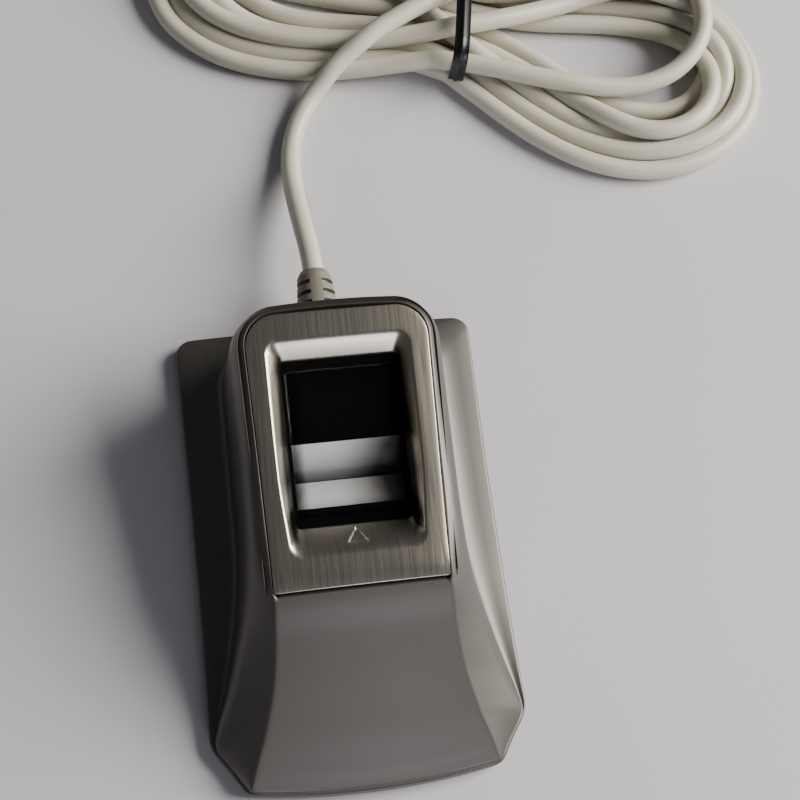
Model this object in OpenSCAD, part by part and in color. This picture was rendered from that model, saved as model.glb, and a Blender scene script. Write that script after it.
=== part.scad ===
// Desktop fingerprint scanner terminal with an optical prism, on a USB lead.
// Origin: middle of the footprint, on the surface the scanner stands on.
// +Y points to the back, where the lead leaves; -Y is the low front edge; +Z is up.

/* [Body] */
// Width over the two side wings
body_w = 66; // [64:1:70]
// Length from the bowed front edge to the back of the wings
body_l = 101; // [99:1:106]
// Height of the outer edge of the wings above the table
edge_h = 3.5; // [3.4:0.1:4]
// Wall thickness of the upper shell
wall = 2; // [1.8:0.1:2.2]
// Thickness of the base plate
base_t = 1.6; // [1.4:0.1:1.8]

/* [Bezel] */
// Thickness of the brushed bezel
bezel_t = 2; // [1.8:0.1:2.2]
// Width of the parting gap around the bezel
bezel_gap = 0.5; // [0.3:0.1:0.6]
// Width of the finger recess at the bezel's surface
recess_w = 28.2; // [27:0.2:29]
// Width of the glass window
window_w = 23.4; // [22.6:0.2:24]
// Length of the glass window along the slope
window_l = 33.3; // [32.5:0.1:33.5]

/* [Lead] */
// Diameter of the lead
cord_d = 4.6; // [4.2:0.1:4.8]
// Height of the middle of the cable outlet
outlet_z = 12; // [11.5:0.5:12.5]
// Length of the strain relief outside the shell
boot_l = 15.4; // [14:0.2:16]
// Length of the plug's moulded grip
grip_l = 26; // [24:1:28]

/* [Hidden] */
$fn = 48;

EPS = 0.01;
FOOT_H = 1;             // how far the rubber feet lift the base
SX = body_w / 66;       // width and length of the shell against the drawn size
SY = body_l / 101;
BASE_TOP = FOOT_H + base_t;

// ---- guide curves of the upper shell, for the right half, as [y, value] ----
// The crease is the outer edge of the tower, which flares out to the front tips.
CREASE_X = [[-38.6, 31.9], [-34, 30.2], [-28.5, 28], [-20, 25.2], [-11.4, 22.9], [-4, 21.8],
    [4, 21.4], [40, 21.4]];
CREASE_Z = [[-38.6, 4], [-34, 6.4], [-28.5, 9.7], [-20, 14.8], [-11.4, 20.2], [-4, 24.2], [4, 26.4],
    [12, 27.6], [24, 29.3], [36, 31.2], [44, 32.6]];
// The foot is where the tower's steep wall meets the wing.
FOOT_X = [[-38.6, 32.1], [-34, 30.9], [-28.5, 29], [-20, 26.7], [-11.4, 24.9], [-4, 23.9], [4, 23.5],
    [40, 23.4]];
FOOT_Z = [[-38.6, 3.8], [-34, 4.2], [-28.5, 4.7], [-20, 5.3], [-11.4, 5.8], [-4, 6], [44, 6]];
// The ridge bounds the apron at the front and the bezel further back.
RIDGE_X = [[-49.6, 25.9], [-48, 25.6], [-43.5, 24], [-38.6, 22], [-34, 20.5], [-28.5, 19], [-20, 17.9],
    [-11.4, 17.5], [4, 17.7], [34, 18.4]];
RIDGE_Z = [[-50.5, 4.1], [-48.3, 4.8], [-44, 7.2], [-38.6, 10.4], [-34, 13.1], [-28.5, 16.4],
    [-20, 21.6], [-13, 26.2], [-10.5, 27.3], [-6, 28.2], [42, 36.7], [46, 37]];
WING_X = [[-38.6, 32.8], [-10, 32.4], [10, 32.4], [30, 32.7], [47, 33]];

TIP_Y = -38.6;          // where the wings end in the two front tips
TIP_X = 32.6;
FRONT_Y = -50.5;
BACK_BOW = 0.4;
BACK_Y = 50.5 - BACK_BOW;
SIDE_Y = [-34, -28.5, -20, -11.4, -4, 4, 12, 24];
FRONT_CORNER = [26.2, -48.3];
CUT_MIDDLE = [28.8, -43.9];
CORNER_ANGLES = [0, 30, 60, 90];

function mix(a, b, t) = a + (b - a) * t;
function fit(p) = [p[0] * SX, p[1] * SY, p[2]];

// The back bows out a little towards its middle.
function back_bow(t) = BACK_BOW * (1 - t * t);

// One guide from the side stations round the back corner to the middle of the back.
function side_and_back(xs, zs, r, back) =
    let (x_end = lookup(back - r, xs), cx = x_end - r, cy = back - r)
    concat(
        [for (y = SIDE_Y) [lookup(y, xs), y, lookup(y, zs)]],
        [for (a = CORNER_ANGLES) [cx + r * cos(a), cy + r * sin(a), lookup(cy + r * sin(a), zs)]],
        [for (x = [cx / 2, 0]) [x, back + back_bow(x / cx), lookup(back, zs)]]);

function level(z) = [[-60, z], [60, z]];
function inset_table(xs, d) = [for (p = xs) [p[0], p[1] - d]];

// Outline of the wings and the front edge at one level, set in by d.
function wing_half(z, d) = concat(
    [[0, FRONT_Y + d, z], [13, FRONT_Y + 0.5 + d, z],
     [FRONT_CORNER[0] - 0.6 * d, FRONT_CORNER[1] + d, z],
     [CUT_MIDDLE[0] - d, CUT_MIDDLE[1] + 0.5 * d, z],
     [TIP_X - d, TIP_Y + 0.2 * d, z]],
    side_and_back(inset_table(WING_X, d), level(z), 3.6 - 0.4 * d, BACK_Y - d));

// The ridge, with the front edge of the apron.
RIDGE_HALF = concat(
    [[0, -49.3, 4.4], [13, -48.8, 4.6], [25.3, -47.4, 5.2], [24, -43.5, 7.5], [22, -38.6, 10.4]],
    side_and_back(RIDGE_X, RIDGE_Z, 6.5, 41.6));

EDGE_IN = wing_half(edge_h, 0.7);

function mix_points(a, b, t) = [for (i = [0:len(a) - 1]) mix(a[i], b[i], t)];
function first(list, n) = [for (i = [0:n - 1]) list[i]];
FRONT_STATIONS = 3;

CREASE_HALF = concat(
    first(mix_points(EDGE_IN, RIDGE_HALF, 0.6), FRONT_STATIONS),
    [[28.1, -43.4, 4.2], [31.7, -38.3, 4.1]],
    side_and_back(CREASE_X, CREASE_Z, 7.5, 43.2));

FOOT_HALF = concat(
    first(mix_points(EDGE_IN, CREASE_HALF, 0.6), FRONT_STATIONS + 2),
    side_and_back(FOOT_X, FOOT_Z, 8, 45));

TOE_HALF = [for (i = [0:len(FOOT_HALF) - 1])
    let (p = mix(EDGE_IN[i], FOOT_HALF[i], 0.7), drop = i < FRONT_STATIONS + 2 ? 0 : 0.9)
    [p[0], p[1], p[2] - drop]];

// The rounded shoulder between the crease and the bezel.
SHOULDER_RISE = 1;
SHOULDER_HALF = [for (i = [0:len(FOOT_HALF) - 1])
    let (p = mix(CREASE_HALF[i], RIDGE_HALF[i], 0.42),
         rise = lookup(p[1], [[-30, 0.2], [0, SHOULDER_RISE], [50, SHOULDER_RISE]]))
    [p[0], p[1], p[2] + rise]];

// A closed ring from its right half: the first and last points are on the middle line.
function ring(half) = let (n = len(half))
    concat([for (p = half) fit(p)], [for (i = [n - 2:-1:1]) fit([-half[i][0], half[i][1], half[i][2]])]);

// Skin over a stack of rings, closed by a ladder of cross faces at both ends.
module skin(rings) {
    n = len(rings[0]);
    m = len(rings);
    half_n = n / 2;
    function ladder(base) = [for (i = [0:half_n - 1])
        each i == 0 ? [[base, base + 1, base + n - 1]]
            : i == half_n - 1 ? [[base + i, base + i + 1, base + n - i]]
            : [[base + i, base + i + 1, base + n - i], [base + i + 1, base + n - i - 1, base + n - i]]];
    bottom = ladder(0);
    top = [for (f = ladder((m - 1) * n)) [f[2], f[1], f[0]]];
    polyhedron([for (r = rings) each r], concat(ring_walls(n, m), bottom, top), convexity = 8);
}

// Walls between rings of equal length.
function ring_walls(n, m) = [for (k = [0:m - 2], i = [0:n - 1])
    let (a = k * n + i, b = k * n + (i + 1) % n)
    each [[a, a + n, b], [b, a + n, b + n]]];

// Skin over a stack of flat rings, closed by a fan at both ends.
module loft(rings) {
    n = len(rings[0]);
    m = len(rings);
    function middle(r) = [for (axis = [0:2]) [for (p = r) p[axis]] * [for (p = r) 1] / n];
    fans = [for (i = [0:n - 1]) let (j = (i + 1) % n)
        each [[i, j, n * m], [(m - 1) * n + j, (m - 1) * n + i, n * m + 1]]];
    polyhedron(concat([for (r = rings) each r], [middle(rings[0]), middle(rings[m - 1])]),
        concat(ring_walls(n, m), fans), convexity = 4);
}

// Solid shape of the whole body, from the wings' lower edge to the ridge.
module body_solid() {
    skin([ring(wing_half(FOOT_H, 0)), ring(wing_half(edge_h - 0.7, 0)), ring(EDGE_IN), ring(TOE_HALF),
        ring(FOOT_HALF), ring(CREASE_HALF), ring(SHOULDER_HALF), ring(RIDGE_HALF)]);
}

// The hollow inside: the same guides drawn in by the wall.
function hollow_half(half, drop) = [for (p = half)
    [p[0] * (1 - wall / 21), p[1] * (1 - wall / 43), max(p[2] - drop, FOOT_H + 0.7)]];
function flat_half(half, z) = [for (p = hollow_half(half, 0)) [p[0], p[1], z]];

module body_hollow() {
    skin([ring(flat_half(FOOT_HALF, FOOT_H - 1)), ring(flat_half(FOOT_HALF, FOOT_H + 0.5)),
        ring(hollow_half(CREASE_HALF, wall)), ring(hollow_half(RIDGE_HALF, wall))]);
}

// ---- bezel ----
BEZEL_FRONT = -12.3;
BEZEL_BACK = 41.3;
BEZEL_CORNER = 6.3;
function bezel_half(d) =
    let (x_end = lookup(35, RIDGE_X) - 0.4 - d, r = BEZEL_CORNER - d, cx = x_end - r, cy = BEZEL_BACK - d - r)
    concat([for (y = [BEZEL_FRONT + d, 4, 20]) [(lookup(y, RIDGE_X) - 0.4 - d) * SX, y * SY]],
        [for (a = [0:15:90]) [(cx + r * cos(a)) * SX, (cy + r * sin(a)) * SY]]);
module bezel_outline(d) {
    half = bezel_half(d);
    polygon(concat(half, [for (i = [len(half) - 1:-1:0]) [-half[i][0], half[i][1]]]));
}
module bezel_pocket() {
    difference() {
        translate([0, 0, 15]) linear_extrude(35) bezel_outline(0);
        translate([0, 0, -bezel_t - 0.1]) body_solid();
    }
}

// The glass plane slopes down towards the front.
GLASS_TILT = atan(0.244);
GLASS_MID = [0, 16.35, 28.36];
module on_glass() {
    translate(GLASS_MID) rotate([GLASS_TILT, 0, 0]) children();
}
// A rounded rectangle as points, anticlockwise.
function rounded_points(w, l, r) = [for (q = [0:3], a = [0:18:90])
    let (sx = q == 0 || q == 3 ? 1 : -1, sy = q < 2 ? 1 : -1)
    [sx * (w / 2 - r) + r * cos(90 * q + a), sy * (l / 2 - r) + r * sin(90 * q + a)]];
module rounded_slab(w, l, r, h) {
    linear_extrude(h) polygon(rounded_points(w, l, r));
}
// Those points at height h over a plane that is tilted about X and stands at mid.
function tilted(points, mid, tilt, h) = [for (p = points)
    mid + [p[0], p[1] * cos(tilt) - h * sin(tilt), p[1] * sin(tilt) + h * cos(tilt)]];

// The finger recess: wide at the surface, the window's size at the glass.
RECESS_L = 42.6;
SURFACE_TILT = 10;
SURFACE_MID = [0, 14.7, 32];
module recess(grow, below) {
    window = rounded_points(window_w + 2 * grow, window_l + 2 * grow, 1 + grow);
    mouth = rounded_points(recess_w + 2 * grow, RECESS_L + 2 * grow, 3 + grow);
    loft([tilted(window, GLASS_MID, GLASS_TILT, -below), tilted(window, GLASS_MID, GLASS_TILT, 0),
        tilted(mouth, SURFACE_MID, SURFACE_TILT, 0), tilted(mouth, SURFACE_MID, SURFACE_TILT, 6)]);
}

// A shallow triangular pocket in the lip, which points at the window.
MARK_DEPTH = 0.5;
module pointer_mark() {
    translate([0, -2.4, 25.9]) rotate([-29, 0, 0]) translate([0, 0, -MARK_DEPTH])
        linear_extrude(MARK_DEPTH + 1) polygon([[-2.1, -1.9], [2.1, -1.9], [0.35, 1.9], [-0.35, 1.9]]);
}

module bezel_frame() color("#8f8a7c") {
    difference() {
        union() {
            difference() {
                intersection() {
                    body_solid();
                    translate([0, 0, 15]) linear_extrude(35) bezel_outline(bezel_gap);
                }
                translate([0, 0, -bezel_t]) body_solid();
            }
            intersection() {
                recess(1.3, 0.3);
                body_solid();
                translate([0, 0, 15]) linear_extrude(35) bezel_outline(2);
            }
        }
        recess(0, 4);
        pointer_mark();
    }
}

// ---- upper shell ----
SCREW_AT = [[17, -22], [16.2, 37]];
BOSS_R = 3;
PILOT_R = 1.1;
module at_screws() {
    for (p = SCREW_AT, side = [-1, 1]) translate([side * p[0], p[1], 0]) children();
}
OUTLET_X = -1.2;
OUTLET_R = 4.2;
SHELL_BACK_Y = 44.6;    // outer face of the back wall at the height of the outlet

module upper_shell() color("#6b6962") {
    difference() {
        union() {
            difference() {
                body_solid();
                body_hollow();
                translate([0, 0, FOOT_H - 1]) linear_extrude(base_t + 1.05) base_outline(1.4);
                translate([0, 0, 15]) linear_extrude(35) bezel_outline(1.8);
                bezel_pocket();
            }
            intersection() {
                body_solid();
                at_screws() translate([0, 0, BASE_TOP + 0.1]) cylinder(h = 34, r = BOSS_R);
                difference() {
                    translate([-40, -60, 0]) cube([80, 120, 50]);
                    bezel_pocket();
                }
            }
        }
        at_screws() translate([0, 0, FOOT_H]) cylinder(h = 12, r = PILOT_R);
        translate([OUTLET_X, 36, outlet_z]) rotate([-90, 0, 0]) cylinder(h = 14, r = OUTLET_R);
    }
}

// ---- base ----
module base_outline(d) {
    half = wing_half(0, d);
    r = ring(half);
    polygon([for (p = r) [p[0], p[1]]]);
}
FEET_AT = [[25, 42], [24.5, -36]];
FOOT_R = 4;
module at_feet() {
    for (p = FEET_AT, side = [-1, 1]) translate([side * p[0], p[1], 0]) children();
}
STANDOFF_AT = [[14.5, -3], [14.5, 31]];
BOARD_Z = 6;
module at_standoffs() {
    for (p = STANDOFF_AT, side = [-1, 1]) translate([side * p[0], p[1], 0]) children();
}
module base_plate() color("#2d2d2f") {
    difference() {
        union() {
            translate([0, 0, FOOT_H]) linear_extrude(base_t) base_outline(1.6);
            at_standoffs() translate([0, 0, BASE_TOP - EPS]) cylinder(h = BOARD_Z - BASE_TOP + EPS, r = 2.6);
        }
        at_feet() translate([0, 0, FOOT_H - EPS]) cylinder(h = 0.61, r = FOOT_R + 0.1);
        at_screws() translate([0, 0, FOOT_H - EPS]) cylinder(h = base_t + 1, r = 1.5);
        at_screws() translate([0, 0, FOOT_H - EPS]) cylinder(h = 0.81, r = 2.7);
        at_standoffs() translate([0, 0, BASE_TOP - 1]) cylinder(h = 6, r = 0.9);
        translate([-17, -10, FOOT_H - EPS]) cube([34, 24, 0.21]);
    }
}
module rubber_feet() color("#1a1a1a") {
    at_feet() cylinder(h = FOOT_H + 0.55, r = FOOT_R);
}
module base_screws() color("silver") {
    at_screws() {
        difference() {
            translate([0, 0, FOOT_H + 0.05]) cylinder(h = 0.75, r = 2.5);
            for (turn = [0, 90]) translate([0, 0, FOOT_H + 0.2]) rotate([0, 0, turn])
                cube([3, 0.6, 0.5], center = true);
        }
        translate([0, 0, FOOT_H + 0.79]) cylinder(h = 8, r = 1.05);
    }
}
module ballast_plate() color("#777a7d") {
    difference() {
        translate([-13, -38, BASE_TOP + 0.1]) cube([26, 26, 3]);
        for (x = [-1, 1]) translate([x * 9, -25, BASE_TOP]) cylinder(h = 4, r = 1.6);
    }
}
module rating_label() color("#c9c9c6") {
    translate([-16.5, -9.5, FOOT_H]) cube([33, 23, 0.15]);
}

// ---- optics ----
PRISM_TOP_L = 29.5;     // polished platen along the slope
PRISM_DEPTH = 14.5;
PRISM_FLAT = 3;         // ground flat that cuts off the prism's lower edge
PRISM_W = 22;
LEG_DIR = atan2(PRISM_DEPTH, (PRISM_TOP_L - PRISM_FLAT) / 2);
LEG_LEN = norm([PRISM_DEPTH, (PRISM_TOP_L - PRISM_FLAT) / 2]);

// A sketch in the slope's own plane: x runs up the slope, y points out of the glass.
module along_x(w) {
    on_glass() rotate([90, 0, 90]) translate([0, 0, -w / 2]) linear_extrude(w) children();
}
module prism_section() {
    polygon([[-PRISM_TOP_L / 2, 0], [PRISM_TOP_L / 2, 0], [PRISM_FLAT / 2, -PRISM_DEPTH],
        [-PRISM_FLAT / 2, -PRISM_DEPTH]]);
}
module prism() color([0.75, 0.85, 0.9, 0.5]) {
    translate([0, 0, -0.3]) along_x(PRISM_W) prism_section();
}
module prism_seal() color("#141414") {
    on_glass() difference() {
        translate([0, 0, -1.7]) rounded_slab(25.4, 35, 1.5, 1.4);
        translate([0, 0, -3]) linear_extrude(4) square([PRISM_W + 0.2, PRISM_TOP_L + 0.2], center = true);
    }
}
HOLDER_TOP = -1.8;      // the holder's upper edge, under the seal
HOLDER_CHEEK = 1.6;
module prism_holder() color("#1f1f20") {
    difference() {
        union() {
            for (side = [-1, 1]) translate([side * (PRISM_W / 2 + 0.15 + HOLDER_CHEEK / 2), 0, 0])
                along_x(HOLDER_CHEEK)
                    polygon([[-16.5, HOLDER_TOP], [16.5, HOLDER_TOP], [4, -17.5], [-4, -17.5]]);
            along_x(PRISM_W + 3) polygon([[-1.6, -PRISM_DEPTH - 0.5], [1.6, -PRISM_DEPTH - 0.5],
                [1.6, -17.5], [-1.6, -17.5]]);
            for (end = [-1, 1]) along_x(PRISM_W + 3)
                polygon([[end * 15.2, HOLDER_TOP], [end * 16.5, HOLDER_TOP],
                         [end * 14.6, -4.4], [end * 13.4, -4.4]]);
            for (side = [-1, 1]) translate([side * 14.5 - 2.6, 5, BOARD_Z + 1.7]) cube([5.2, 5, 1.6]);
            for (side = [-1, 1]) translate([side * 12.2 - 1, 5, BOARD_Z + 1.7]) cube([2, 14, 8]);
        }
        for (side = [-1, 1]) translate([side * 15.2, 7.5, BOARD_Z]) cylinder(h = 5, r = 1.1);
    }
}
// Places things on a leg of the prism: +Z points out of the glass, the origin is the leg's middle.
module on_leg(end, out) {
    on_glass() translate([0, end * (PRISM_TOP_L + PRISM_FLAT) / 4, -PRISM_DEPTH / 2 - 0.3])
        rotate([end * (-180 + LEG_DIR), 0, 0]) translate([0, 0, out]) children();
}
module light_diffuser() color("#e8e8e4") {
    on_leg(-1, 0.2) translate([-PRISM_W / 2 + 0.5, -8.5, 0]) cube([PRISM_W - 1, 17, 1.4]);
}
module led_board() color("#1f5c33") {
    on_leg(-1, 5.4) translate([-10, -7.5, 0]) cube([20, 15, 1.2]);
}
module leds() color("#f2efe0") {
    on_leg(-1, 4.2) for (x = [-7.5, -2.5, 2.5, 7.5], y = [-4, 4])
        translate([x - 1, y - 0.8, 0]) cube([2, 1.6, 1.15]);
}
module lens_barrel() color("#18181a") {
    on_leg(1, 2) difference() {
        union() {
            cylinder(h = 6, r = 4);
            translate([0, 0, 4.2]) cylinder(h = 1, r = 4.6);
        }
        translate([0, 0, -1]) cylinder(h = 8, r = 2.6);
    }
}
module lens_elements() color([0.7, 0.8, 0.95, 0.6]) {
    on_leg(1, 2.4) {
        cylinder(h = 1.2, r = 2.55);
        translate([0, 0, 2.4]) cylinder(h = 1, r = 2.55);
    }
}
module sensor_bracket() color("#242426") {
    on_leg(1, 8.05) difference() {
        translate([-6.5, -5, 0]) cube([13, 10, 2.2]);
        translate([-4, -3.6, -1]) cube([8, 7.2, 5]);
    }
}
module image_sensor() color("#20242c") {
    on_leg(1, 9) translate([-2.8, -2.6, 0]) cube([5.6, 5.2, 1.2]);
}
module sensor_board() color("#1f5c33") {
    on_leg(1, 10.3) difference() {
        translate([-7, -5, 0]) cube([14, 10, 1]);
        for (x = [-1, 1]) translate([x * 5.6, 0, -1]) cylinder(h = 3, r = 0.7);
    }
}

// ---- main electronics ----
BOARD_T = 1.6;
module main_board() color("#1c5530") {
    difference() {
        translate([-18, -7, BOARD_Z]) cube([36, 42, BOARD_T]);
        at_standoffs() translate([0, 0, BOARD_Z - 1]) cylinder(h = 4, r = 1.2);
    }
}
module controller_chip() color("#151517") {
    translate([-5, -4.5, BOARD_Z + BOARD_T]) cube([9, 9, 1.1]);
}
module board_components() color("#b9a36a") {
    top = BOARD_Z + BOARD_T;
    translate([8, 25, top]) cylinder(h = 3.4, r = 1.8);
    translate([8, 20.4, top]) cylinder(h = 3.4, r = 1.8);
    translate([-11, 2, top]) cube([4.6, 2.6, 1.3]);
    for (i = [0:5]) translate([-7 + 2.6 * i, 14, top]) cube([1.2, 2, 0.8]);
    for (i = [0:3]) translate([9, -4 + 2.4 * i, top]) cube([2, 1.2, 0.7]);
}
module board_screws() color("silver") {
    at_standoffs() {
        translate([0, 0, BOARD_Z + BOARD_T]) cylinder(h = 1, r = 2);
        translate([0, 0, BASE_TOP]) cylinder(h = BOARD_Z + BOARD_T - BASE_TOP + EPS, r = 0.85);
    }
}
HEADER_AT = [-5, 27.5];
HEADER_TOP = 11.6;
module cable_header() color("#efece2") {
    translate([HEADER_AT[0] - 4.5, HEADER_AT[1] - 2.2, BOARD_Z + BOARD_T]) difference() {
        cube([9, 4.4, HEADER_TOP - BOARD_Z - BOARD_T]);
        translate([0.8, 0.8, 1.2]) cube([7.4, 2.8, 5]);
    }
}

// ---- lead ----
PLUG_DROP = 1.6;        // how far a wire end stands inside the header

// Frame of a path at point i, and a ring of points around it.
function unit(v) = v / norm(v);
function tangent(path, i) = unit(path[min(i + 1, len(path) - 1)] - path[max(i - 1, 0)]);
function section_ring(path, i, r, sides) =
    let (t = tangent(path, i), s = unit(cross(t, [0.02, 0.01, 1])), u = cross(s, t))
    [for (k = [0:sides - 1]) path[i] + r * (cos(360 * k / sides) * s + sin(360 * k / sides) * u)];
module tube(path, r, sides) {
    n = len(path);
    points = [for (i = [0:n - 1]) each section_ring(path, i, r, sides)];
    start = [for (k = [0:sides - 1]) k];
    finish = [for (k = [sides - 1:-1:0]) (n - 1) * sides + k];
    polyhedron(points, concat(ring_walls(sides, n), [start, finish]), convexity = 6);
}
// A smooth curve through the points, with a few steps between each two.
function smooth_point(a, b, c, d, t) =
    0.5 * (2 * b + (c - a) * t + (2 * a - 5 * b + 4 * c - d) * t * t + (3 * b - a - 3 * c + d) * t * t * t);
function smooth(p, steps) = let (n = len(p)) concat(
    [for (i = [0:n - 2], s = [0:steps - 1])
        smooth_point(p[max(i - 1, 0)], p[i], p[i + 1], p[min(i + 2, n - 1)], s / steps)],
    [p[n - 1]]);

WIRE_N = 4;
module inner_wires() {
    tints = ["#b3261e", "#e6e6e6", "#2e7d32", "#202020"];
    for (w = [0:WIRE_N - 1]) {
        shift = (w - (WIRE_N - 1) / 2) * 1.6;
        route = [[OUTLET_X + shift * 0.55, 36.5, outlet_z], [OUTLET_X + shift * 0.8, 33, outlet_z + 0.6],
            [-4 + shift, 29.5, outlet_z + 1.4], [HEADER_AT[0] + shift, 27.5, outlet_z + 0.9],
            [HEADER_AT[0] + shift, 27.5, HEADER_TOP - PLUG_DROP]];
        color(tints[w]) tube(smooth(route, 3), 0.55, 8);
    }
}

BOOT_START_Y = SHELL_BACK_Y + 0.1;
BOOT_TIP_Y = SHELL_BACK_Y + boot_l;
module along_y(y) {
    translate([OUTLET_X, y, outlet_z]) rotate([-90, 0, 0]) children();
}
SLOT_PITCH = 2.5;
SLOT_ROWS = 4;
module strain_relief() color("#98958a") {
    difference() {
        union() {
            along_y(BOOT_START_Y + 0.3) cylinder(h = 1.2, r = 5.4);
            along_y(BOOT_START_Y + 1.4) cylinder(h = boot_l - 2.8, r1 = 5.1, r2 = 3.8);
            along_y(BOOT_TIP_Y - 1.3) cylinder(h = 1.3, r1 = 3.8, r2 = 3.1);
            along_y(38.4) cylinder(h = 7, r = OUTLET_R - 0.1);
            along_y(37) cylinder(h = 3, r = 5);
        }
        along_y(30) cylinder(h = 40, r = cord_d / 2 + 0.05);
        for (i = [0:SLOT_ROWS - 1]) along_y(BOOT_TIP_Y - 3.8 - SLOT_PITCH * i) difference() {
            cylinder(h = 1, r = 7);
            translate([0, 0, -1]) cylinder(h = 3, r = 3.1);
            translate([-1.3, -8, -1]) cube([2.6, 16, 3]);
        }
    }
}
module cable_clamp() color("#2a2a2c") {
    difference() {
        union() {
            translate([OUTLET_X - 6.5, 37.6, BASE_TOP + 0.05]) cube([13, 2, outlet_z - BASE_TOP - 0.05]);
            translate([OUTLET_X - 6.5, 35.6, BASE_TOP + 0.05]) cube([13, 4, 2]);
        }
        along_y(30) cylinder(h = 12, r = 5.1);
    }
}

// Points that the free lead passes through between the strain relief and the tied hank.
LEAD_ROUTE = [[OUTLET_X, 37.2, outlet_z], [OUTLET_X, 48, outlet_z], [OUTLET_X, 60, outlet_z],
    [-1.5, 66, 11.4], [-2.1, 72, 10], [-2.6, 78, 7.8], [-2.9, 84, 5.4], [-2.9, 90, 3.4], [-2.4, 95, 2.5],
    [-1.3, 99.5, 2.4], [0.9, 104.5, 2.5], [3.9, 109, 3.2], [7.4, 112.6, 5], [11, 115, 7.6]];
module cord_lead() color("#c2bfb4") {
    tube(smooth(LEAD_ROUTE, 2), cord_d / 2, 12);
}

// The tied hank: two round end loops, narrower where the tie pulls it together.
LOOP_LEFT = [-5, 147];
LOOP_RIGHT = [88, 112];
LOOP_R = 26;
WAIST_R = 16.2;
HANK_H = 13.8;          // two layers of turns and the lead that crosses over them
HANK_SPAN = LOOP_RIGHT - LOOP_LEFT;
HANK_TURN = atan2(HANK_SPAN[1], HANK_SPAN[0]);
WAIST = (LOOP_LEFT + LOOP_RIGHT) / 2;
// From here on X runs along the hank to the right loop, and Y to its far side.
module along_hank() {
    translate([WAIST[0], WAIST[1], 0]) rotate([0, 0, HANK_TURN]) children();
}
module cord_hank() color("#c2bfb4") {
    difference() {
        along_hank() linear_extrude(HANK_H) for (side = [-1, 1]) hull() {
            translate([side * norm(HANK_SPAN) / 2, 0]) circle(LOOP_R, $fn = 48);
            circle(WAIST_R, $fn = 32);
        }
        tube(smooth(LEAD_ROUTE, 2), cord_d / 2 + 0.05, 12);
        along_hank() tube(smooth(TAIL_ROUTE, 2), cord_d / 2 + 0.05, 12);
    }
}
// The end of the lead leaves the left loop and runs into the plug, in the hank's own frame.
PLUG_SIDE = 31;         // how far the plug's middle line lies from the hank's
PLUG_START = -12;       // where the plug's cable end lies along the hank
GRIP_H = 8.4;
TAIL_ROUTE = [[-46, 24, cord_d / 2], [-38, 26, cord_d / 2], [-30, 28.8, 2.8],
    [-21, 30.7, 3.8], [PLUG_START + 7, PLUG_SIDE, GRIP_H / 2]];
module cord_tail() color("#c2bfb4") {
    along_hank() tube(smooth(TAIL_ROUTE, 2), cord_d / 2, 12);
}
TIE_W = 3.4;
TIE_T = 0.9;
TIE_H = 15.6;
module twist_tie() color("#17171a") {
    half = WAIST_R + TIE_T;
    along_hank() difference() {
        translate([-TIE_W / 2, -half, 0]) cube([TIE_W, 2 * half, TIE_H]);
        translate([-TIE_W, -half + TIE_T, TIE_T]) cube([2 * TIE_W, 2 * (half - TIE_T), TIE_H - 2 * TIE_T]);
    }
}

// ---- USB plug, lying beside the hank ----
GRIP_W = 16;
SHELL_W = 12;           // standard USB type A shell
SHELL_H = 4.5;
SHELL_L = 18.8;
module at_plug() {
    along_hank() translate([PLUG_START, PLUG_SIDE, GRIP_H / 2]) rotate([0, 0, -90]) children();
}
module rounded_bar(l, w, h, r) {
    rotate([-90, 0, 0]) linear_extrude(l) hull() for (x = [-1, 1], z = [-1, 1])
        translate([x * (w / 2 - r), z * (h / 2 - r)]) circle(r, $fn = 32);
}
module plug_overmold() color("#b8b5aa") {
    at_plug() difference() {
        union() {
            translate([0, 6, 0]) rounded_bar(grip_l - 6, GRIP_W, GRIP_H, 2);
            rotate([-90, 0, 0]) cylinder(h = 6.5, r1 = cord_d / 2 + 0.9, r2 = 4);
        }
        translate([0, grip_l - 4, 0]) rounded_bar(5, SHELL_W, SHELL_H, 0.4);
        translate([0, -1, 0]) rotate([-90, 0, 0]) cylinder(h = 9, r = cord_d / 2);
    }
}
module plug_shell() color("#c8cacc") {
    at_plug() translate([0, grip_l - 4, 0]) difference() {
        rounded_bar(SHELL_L + 4, SHELL_W, SHELL_H, 0.4);
        translate([0, 4.5, 0]) rounded_bar(SHELL_L, SHELL_W - 0.6, SHELL_H - 0.6, 0.25);
        for (x = [-1, 1]) translate([x * 3 - 1.25, 15, 1.5]) cube([2.5, 2, 2]);
    }
}
module plug_tongue() color("#e9e9e6") {
    at_plug() translate([-5.6, grip_l + 0.6, -1.9]) cube([11.2, SHELL_L - 1.2, 1.84]);
}
module plug_contacts() color("#d4af5a") {
    at_plug() for (x = [-3.5, -1, 1, 3.5])
        translate([x - 0.5, grip_l + 2, -0.05]) cube([1, SHELL_L - 4, 0.25]);
}

upper_shell();
bezel_frame();
base_plate();
rubber_feet();
base_screws();
ballast_plate();
prism();
prism_seal();
prism_holder();
light_diffuser();
led_board();
leds();
lens_barrel();
lens_elements();
sensor_bracket();
sensor_board();
image_sensor();
main_board();
controller_chip();
board_components();
board_screws();
cable_header();
inner_wires();
cable_clamp();
rating_label();
strain_relief();
cord_lead();
cord_hank();
cord_tail();
twist_tie();
plug_overmold();
plug_shell();
plug_tongue();
plug_contacts();
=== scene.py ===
# %% [markdown]
# # A desktop fingerprint scanner on its USB lead
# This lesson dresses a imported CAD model: a low, painted plastic shell with a brushed bezel, a glass
# finger window, and a long lead tied up in a hank. The CAD model gives the places and the sizes, and
# most cells below make one piece or one finish.

# %% Load the frame
import math

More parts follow.
